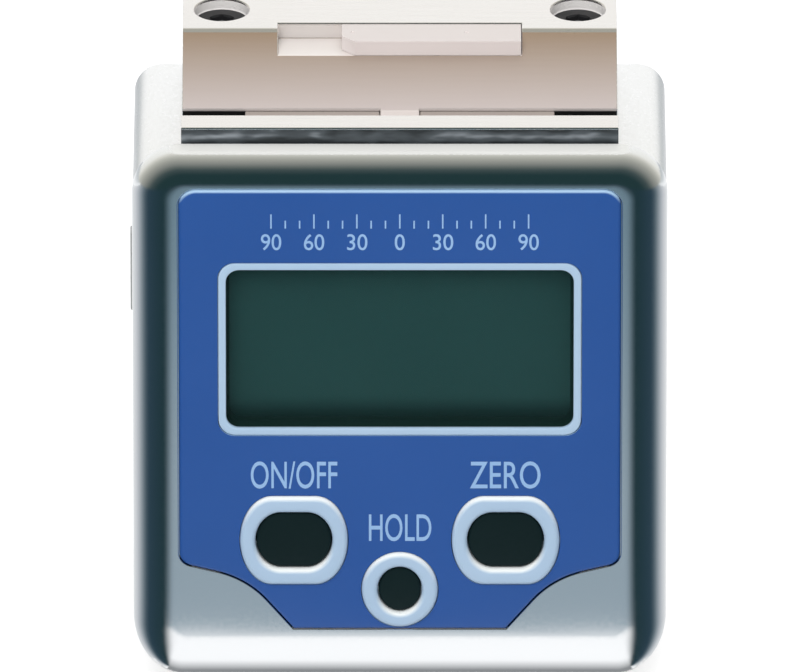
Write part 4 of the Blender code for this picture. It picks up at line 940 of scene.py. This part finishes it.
def turned(name, profile, place, up, sides, socket=()):
    """A profile of radius and height carried round an upright line through a place. A socket's rows follow a
    hexagon: its flat's distance divided by the cosine of the angle from the nearest flat's middle."""
    angles = np.linspace(0, 2 * math.pi, sides, endpoint=False)
    from_flat = np.abs((angles + math.pi / 6) % (math.pi / 3) - math.pi / 6)
    rows = []
    for row, (radius, height) in enumerate(profile):
        reach = radius / np.cos(from_flat) if row in socket else radius
        outline = np.stack([reach * np.cos(angles), reach * np.sin(angles)], 1) + place[:2]
        rows.append(upright(outline, place[2] + up * height))
    return skin(name, rows)


for level, land, up in (("top", LAND_TOP, 1), ("bottom", 0, -1)):
    section = np.array([
        (BAR_FRONT, -BAR_THICKNESS), (BAR_BACK, -BAR_THICKNESS), (BAR_BACK, 0), (groove_back, 0),
        (groove_middle + GROOVE_FLAT / 2, -GROOVE_DEPTH), (groove_middle - GROOVE_FLAT / 2, -GROOVE_DEPTH),
        (groove_front, 0), (BAR_FRONT, 0)]) * (1, up) + (0, land)
    bar = skin(f"{level}_ground_bar", [lying(section, -BAR_HALF), lying(section, BAR_HALF)])
    over = land + up * OVERRUN
    tools = [block("relief", (side * RELIEF_WEB / 2, groove_middle - RELIEF_WIDTH / 2, over),
                   (side * (BAR_HALF + OVERRUN), groove_middle + RELIEF_WIDTH / 2,
                    land - up * (GROOVE_DEPTH + RELIEF_DEPTH))) for side in (-1, 1)]
    tools.append(block("pocket", (-POCKET_HALF, groove_back - POCKET_FRONT, over),
                       (POCKET_HALF, groove_back + POCKET_BACK, land - up * POCKET_DEPTH)))
    for side in ("left", "right"):
        low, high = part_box(f"{level}_bar_screw_{side}")
        place = ((low.x + high.x) / 2, (low.y + high.y) / 2, land)
        tools.append(turned("bore", BORE_PROFILE, place, up, BORE_SIDES))
        head = place[:2] + (land - up * SCREW_SUNK,)
        screw = turned(f"{level}_hex_screw_{side}", SCREW_PROFILE, head, up, SCREW_SIDES, SOCKET_ROWS)
        dress(screw, black_steel, stands_for=[f"{level}_bar_screw_{side}"])
        socket_floor = turned(f"{level}_socket_floor_{side}", SOCKET_FLOOR, head, up, SCREW_SIDES, (0, 1))
        dress(socket_floor, socket_steel)
    carve(bar, *tools)
    softened(bar, BAR_EDGE)
    dress(bar, ground_steel, stands_for=[f"{level}_v_bar"])

    for side in ("left", "right"):
        low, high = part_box(f"{level}_slot_magnet_{side}")
        way = math.copysign(1, low.x + high.x)
        half = (RELIEF_WIDTH - SLOT_MAGNET_GAP) / 2
        magnet = block(f"{level}_brown_magnet_{side}",
                       (way * (RELIEF_WEB + MAGNET_EDGE) / 2, groove_middle - half,
                        land - up * (GROOVE_DEPTH + SLOT_MAGNET_SUNK)),
                       (way * SLOT_MAGNET_OUT, groove_middle + half,
                        land - up * (GROOVE_DEPTH + RELIEF_DEPTH - SLOT_MAGNET_SEAT)))
        softened(magnet, MAGNET_EDGE)
        dress(magnet, brown_nickel, stands_for=[f"{level}_slot_magnet_{side}"])

    low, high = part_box(f"{level}_edge_magnet")
    mouth = groove_back - POCKET_DEPTH * (groove_back - groove_middle - GROOVE_FLAT / 2) / GROOVE_DEPTH
    right, back = POCKET_HALF - MAGNET_EDGE / 2, groove_back + POCKET_BACK - MAGNET_EDGE / 2
    outline = np.array([(low.x + EDGE_MAGNET_CLIP, mouth), (right, mouth), (right, back), (low.x, back),
                        (low.x, mouth + EDGE_MAGNET_CLIP)])
    heights = sorted((land - up * POCKET_DEPTH, land - up * MAGNET_EDGE))
    magnet = skin(f"{level}_pale_magnet", [upright(outline, height) for height in heights])
    carve(magnet, *(turned("dimple", [(DIMPLE, OVERRUN), (DIMPLE, -DIMPLE)], (x, (low.y + high.y) / 2, land),
                           up, DIMPLE_SIDES) for x in EDGE_MAGNET_DIMPLES))
    softened(magnet, MAGNET_EDGE)
    dress(magnet, nickel, stands_for=[f"{level}_edge_magnet"])


# Studio. A pale floor and a white room. The metal mirrors a tent, dark in front and white behind, that the
# camera doesn't see: its tone follows the lean from upright that a mirror needs to show that cloth to someone
# in the photograph's place. A card on the floor is white near the box and grey further off.
bpy.context.scene.view_settings.view_transform = "Standard"
ROOM = 3.0
ROOM_LIGHT = 0.55
FLOOR_TONE = (0.55, 0.55, 0.55, 1)
FLOOR_GLOW = 0.62
TENT = 0.45
TENT_SIDES = 64
TENT_RISE = np.radians(np.linspace(0, 88, 23))
CARD_HEIGHT = 0.1 * MM
CARD_BACK = 0.12
CARD_REACH = 0.4
CORNER_IN = 2.5 * MM
UNDER_COVER = 4 * MM
WHITE_TONE = (1.02, 1.03, 1.04)
GREY_TONE = (0.285, 0.36, 0.415)
FAR_TONE = (0.16, 0.245, 0.30)
DARK_TONE = (0.014, 0.036, 0.044)


def emptied(surface):
    """The node tree of a material or a world, with nothing in it."""
    surface.use_nodes = True
    surface.node_tree.nodes.clear()
    return surface.node_tree


def shown(tree, lighting, seen, output):
    """Lights surfaces with one shader, and shows another straight, in a mirror or through glass."""
    rays = tree.nodes.new("ShaderNodeLightPath").outputs
    eye_rays = worked(tree, "MAXIMUM", worked(tree, "MAXIMUM", rays["Is Camera Ray"], rays["Is Glossy Ray"]),
                      rays["Is Transmission Ray"])
    pick = tree.nodes.new("ShaderNodeMixShader")
    tree.links.new(eye_rays, pick.inputs["Fac"])
    tree.links.new(lighting, pick.inputs[1])
    tree.links.new(seen, pick.inputs[2])
    tree.links.new(pick.outputs["Shader"], tree.nodes.new(output).inputs["Surface"])


def staged(name, outline, height):
    """A flat piece of the studio, with an outline of x and y."""
    mesh = bpy.data.meshes.new(name)
    mesh.from_pydata([(x, y, height) for x, y in outline], [], [range(len(outline))])
    piece = placed(name, mesh)
    return piece


def glowing(piece, name):
    """Makes a piece a light of its own that only mirrors see, and gives its nodes, its place and its tone."""
    surface = bpy.data.materials.new(name)
    tree = emptied(surface)
    glow = tree.nodes.new("ShaderNodeEmission")
    tree.links.new(glow.outputs["Emission"], tree.nodes.new("ShaderNodeOutputMaterial").inputs["Surface"])
    piece.data.materials.append(surface)
    piece.visible_camera = False
    piece.visible_diffuse = False
    piece.visible_shadow = False
    piece.visible_transmission = False
    return tree, places(tree), glow.inputs["Color"]


floor = staged("floor", ((-ROOM, -ROOM), (ROOM, -ROOM), (ROOM, ROOM), (-ROOM, ROOM)), 0)
paper = bpy.data.materials.new("white_paper")
tree = emptied(paper)
plain = tree.nodes.new("ShaderNodeBsdfDiffuse")
plain.inputs["Color"].default_value = FLOOR_TONE
glow = tree.nodes.new("ShaderNodeEmission")
glow.inputs["Strength"].default_value = FLOOR_GLOW
both = tree.nodes.new("ShaderNodeAddShader")
tree.links.new(plain.outputs["BSDF"], both.inputs[0])
tree.links.new(glow.outputs["Emission"], both.inputs[1])
shown(tree, plain.outputs["BSDF"], both.outputs["Shader"], "ShaderNodeOutputMaterial")
floor.data.materials.append(paper)

world = bpy.data.worlds.new("white_room")
bpy.context.scene.world = world
tree = emptied(world)
white = tree.nodes.new("ShaderNodeBackground")
dim = tree.nodes.new("ShaderNodeBackground")
dim.inputs["Strength"].default_value = ROOM_LIGHT
shown(tree, dim.outputs["Background"], white.outputs["Background"], "ShaderNodeOutputWorld")

tent = skin("tent", [upright(oval(2 * TENT * math.cos(a), 2 * TENT * math.cos(a), 0, TENT_SIDES),
                             TENT * math.sin(a)) for a in TENT_RISE])
tree, (x, y, z), tone = glowing(tent, "tent_cloth")
mirror = tree.nodes.new("ShaderNodeCombineXYZ")
for socket, value, towards in zip(mirror.inputs, (x, y, z), away):
    tree.links.new(worked(tree, "ADD", worked(tree, "DIVIDE", value, TENT), towards), socket)
leaning = tree.nodes.new("ShaderNodeVectorMath")
leaning.operation = "NORMALIZE"
tree.links.new(mirror.outputs["Vector"], leaning.inputs[0])
upright_share = tree.nodes.new("ShaderNodeVectorMath")
upright_share.operation = "DOT_PRODUCT"
upright_share.inputs[1].default_value = (0, -1, 0)
tree.links.new(leaning.outputs["Vector"], upright_share.inputs[0])
turn = worked(tree, "DIVIDE", worked(tree, "ARCCOSINE", upright_share.outputs["Value"]), math.pi / 2)
tree.links.new(ramp(tree, turn, [
    (0.34, (0.015, 0.038, 0.041)), (0.44, (0.048, 0.072, 0.074)), (0.50, (0.125, 0.145, 0.135)),
    (0.57, (0.24, 0.25, 0.23)), (0.66, (0.36, 0.365, 0.325)), (0.74, (0.49, 0.49, 0.44)),
    (0.83, (0.69, 0.68, 0.62)), (0.93, (0.87, 0.87, 0.83)), (1.0, WHITE_TONE)]), tone)

# In front of the box the card's tone runs out from under the cover, and beside it round the face's corner.
near = FACE + UNDER_COVER
card = staged("floor_card", (
    (-TENT, -TENT), (TENT, -TENT), (TENT, CARD_BACK), (RIGHT, CARD_BACK), (RIGHT, near), (-RIGHT, near),
    (-RIGHT, CARD_BACK), (-TENT, CARD_BACK)), CARD_HEIGHT)
tree, (x, y, z), tone = glowing(card, "floor_card")
ahead = worked(tree, "SUBTRACT", FACE, y)
aside = worked(tree, "SUBTRACT", worked(tree, "ABSOLUTE", x), RIGHT - CORNER_IN)
turn = worked(tree, "DIVIDE", worked(tree, "ARCTAN2", aside, worked(tree, "ADD", ahead, CORNER_IN)), math.pi)
out_from_under = worked(tree, "DIVIDE", worked(tree, "ADD", ahead, UNDER_COVER), CARD_REACH)
front_tone = ramp(tree, out_from_under, [
    (0.004, (0.27, 0.28, 0.29)), (0.0118, WHITE_TONE), (0.0415, WHITE_TONE), (0.048, GREY_TONE),
    (0.14, GREY_TONE), (0.28, FAR_TONE), (0.55, (0.06, 0.09, 0.11)), (1.0, DARK_TONE)])
side_tone = ramp(tree, turn, [
    (0.17, DARK_TONE), (0.42, (0.024, 0.050, 0.072)), (0.48, (0.065, 0.10, 0.125)),
    (0.545, (0.19, 0.235, 0.265)), (0.62, (0.39, 0.425, 0.46)), (0.70, (0.58, 0.60, 0.63)),
    (0.83, (0.75, 0.77, 0.78)), (0.95, WHITE_TONE)])
tree.links.new(mixed(tree, eased(tree, turn, 0, 0.17), front_tone, side_tone), tone)

card = staged("back_card", ((-TENT, CARD_BACK), (TENT, CARD_BACK), (TENT, TENT), (-TENT, TENT)), CARD_HEIGHT)
tree, (x, y, z), tone = glowing(card, "back_card")
tree.links.new(ramp(tree, worked(tree, "DIVIDE", y, TENT), [
    (0.27, WHITE_TONE), (0.42, (0.62, 0.65, 0.67)), (1.0, (0.26, 0.30, 0.33))]), tone)


def lamp(name, place, size, power):
    """A square soft lamp that points at the box and doesn't show in the metal."""
    light = bpy.data.lights.new(name, "AREA")
    light.size = size
    light.energy = power
    holder = placed(name, light)
    holder.location = place
    holder.rotation_euler = (Vector(place) - AIM).to_track_quat("Z", "Y").to_euler()
    holder.visible_camera = False
    holder.visible_glossy = False


lamp("front_softbox", (-0.15, -0.55, 0.55), 0.5, 4.0)
lamp("top_softbox", (0.1, 0.1, 0.7), 0.6, 3.0)
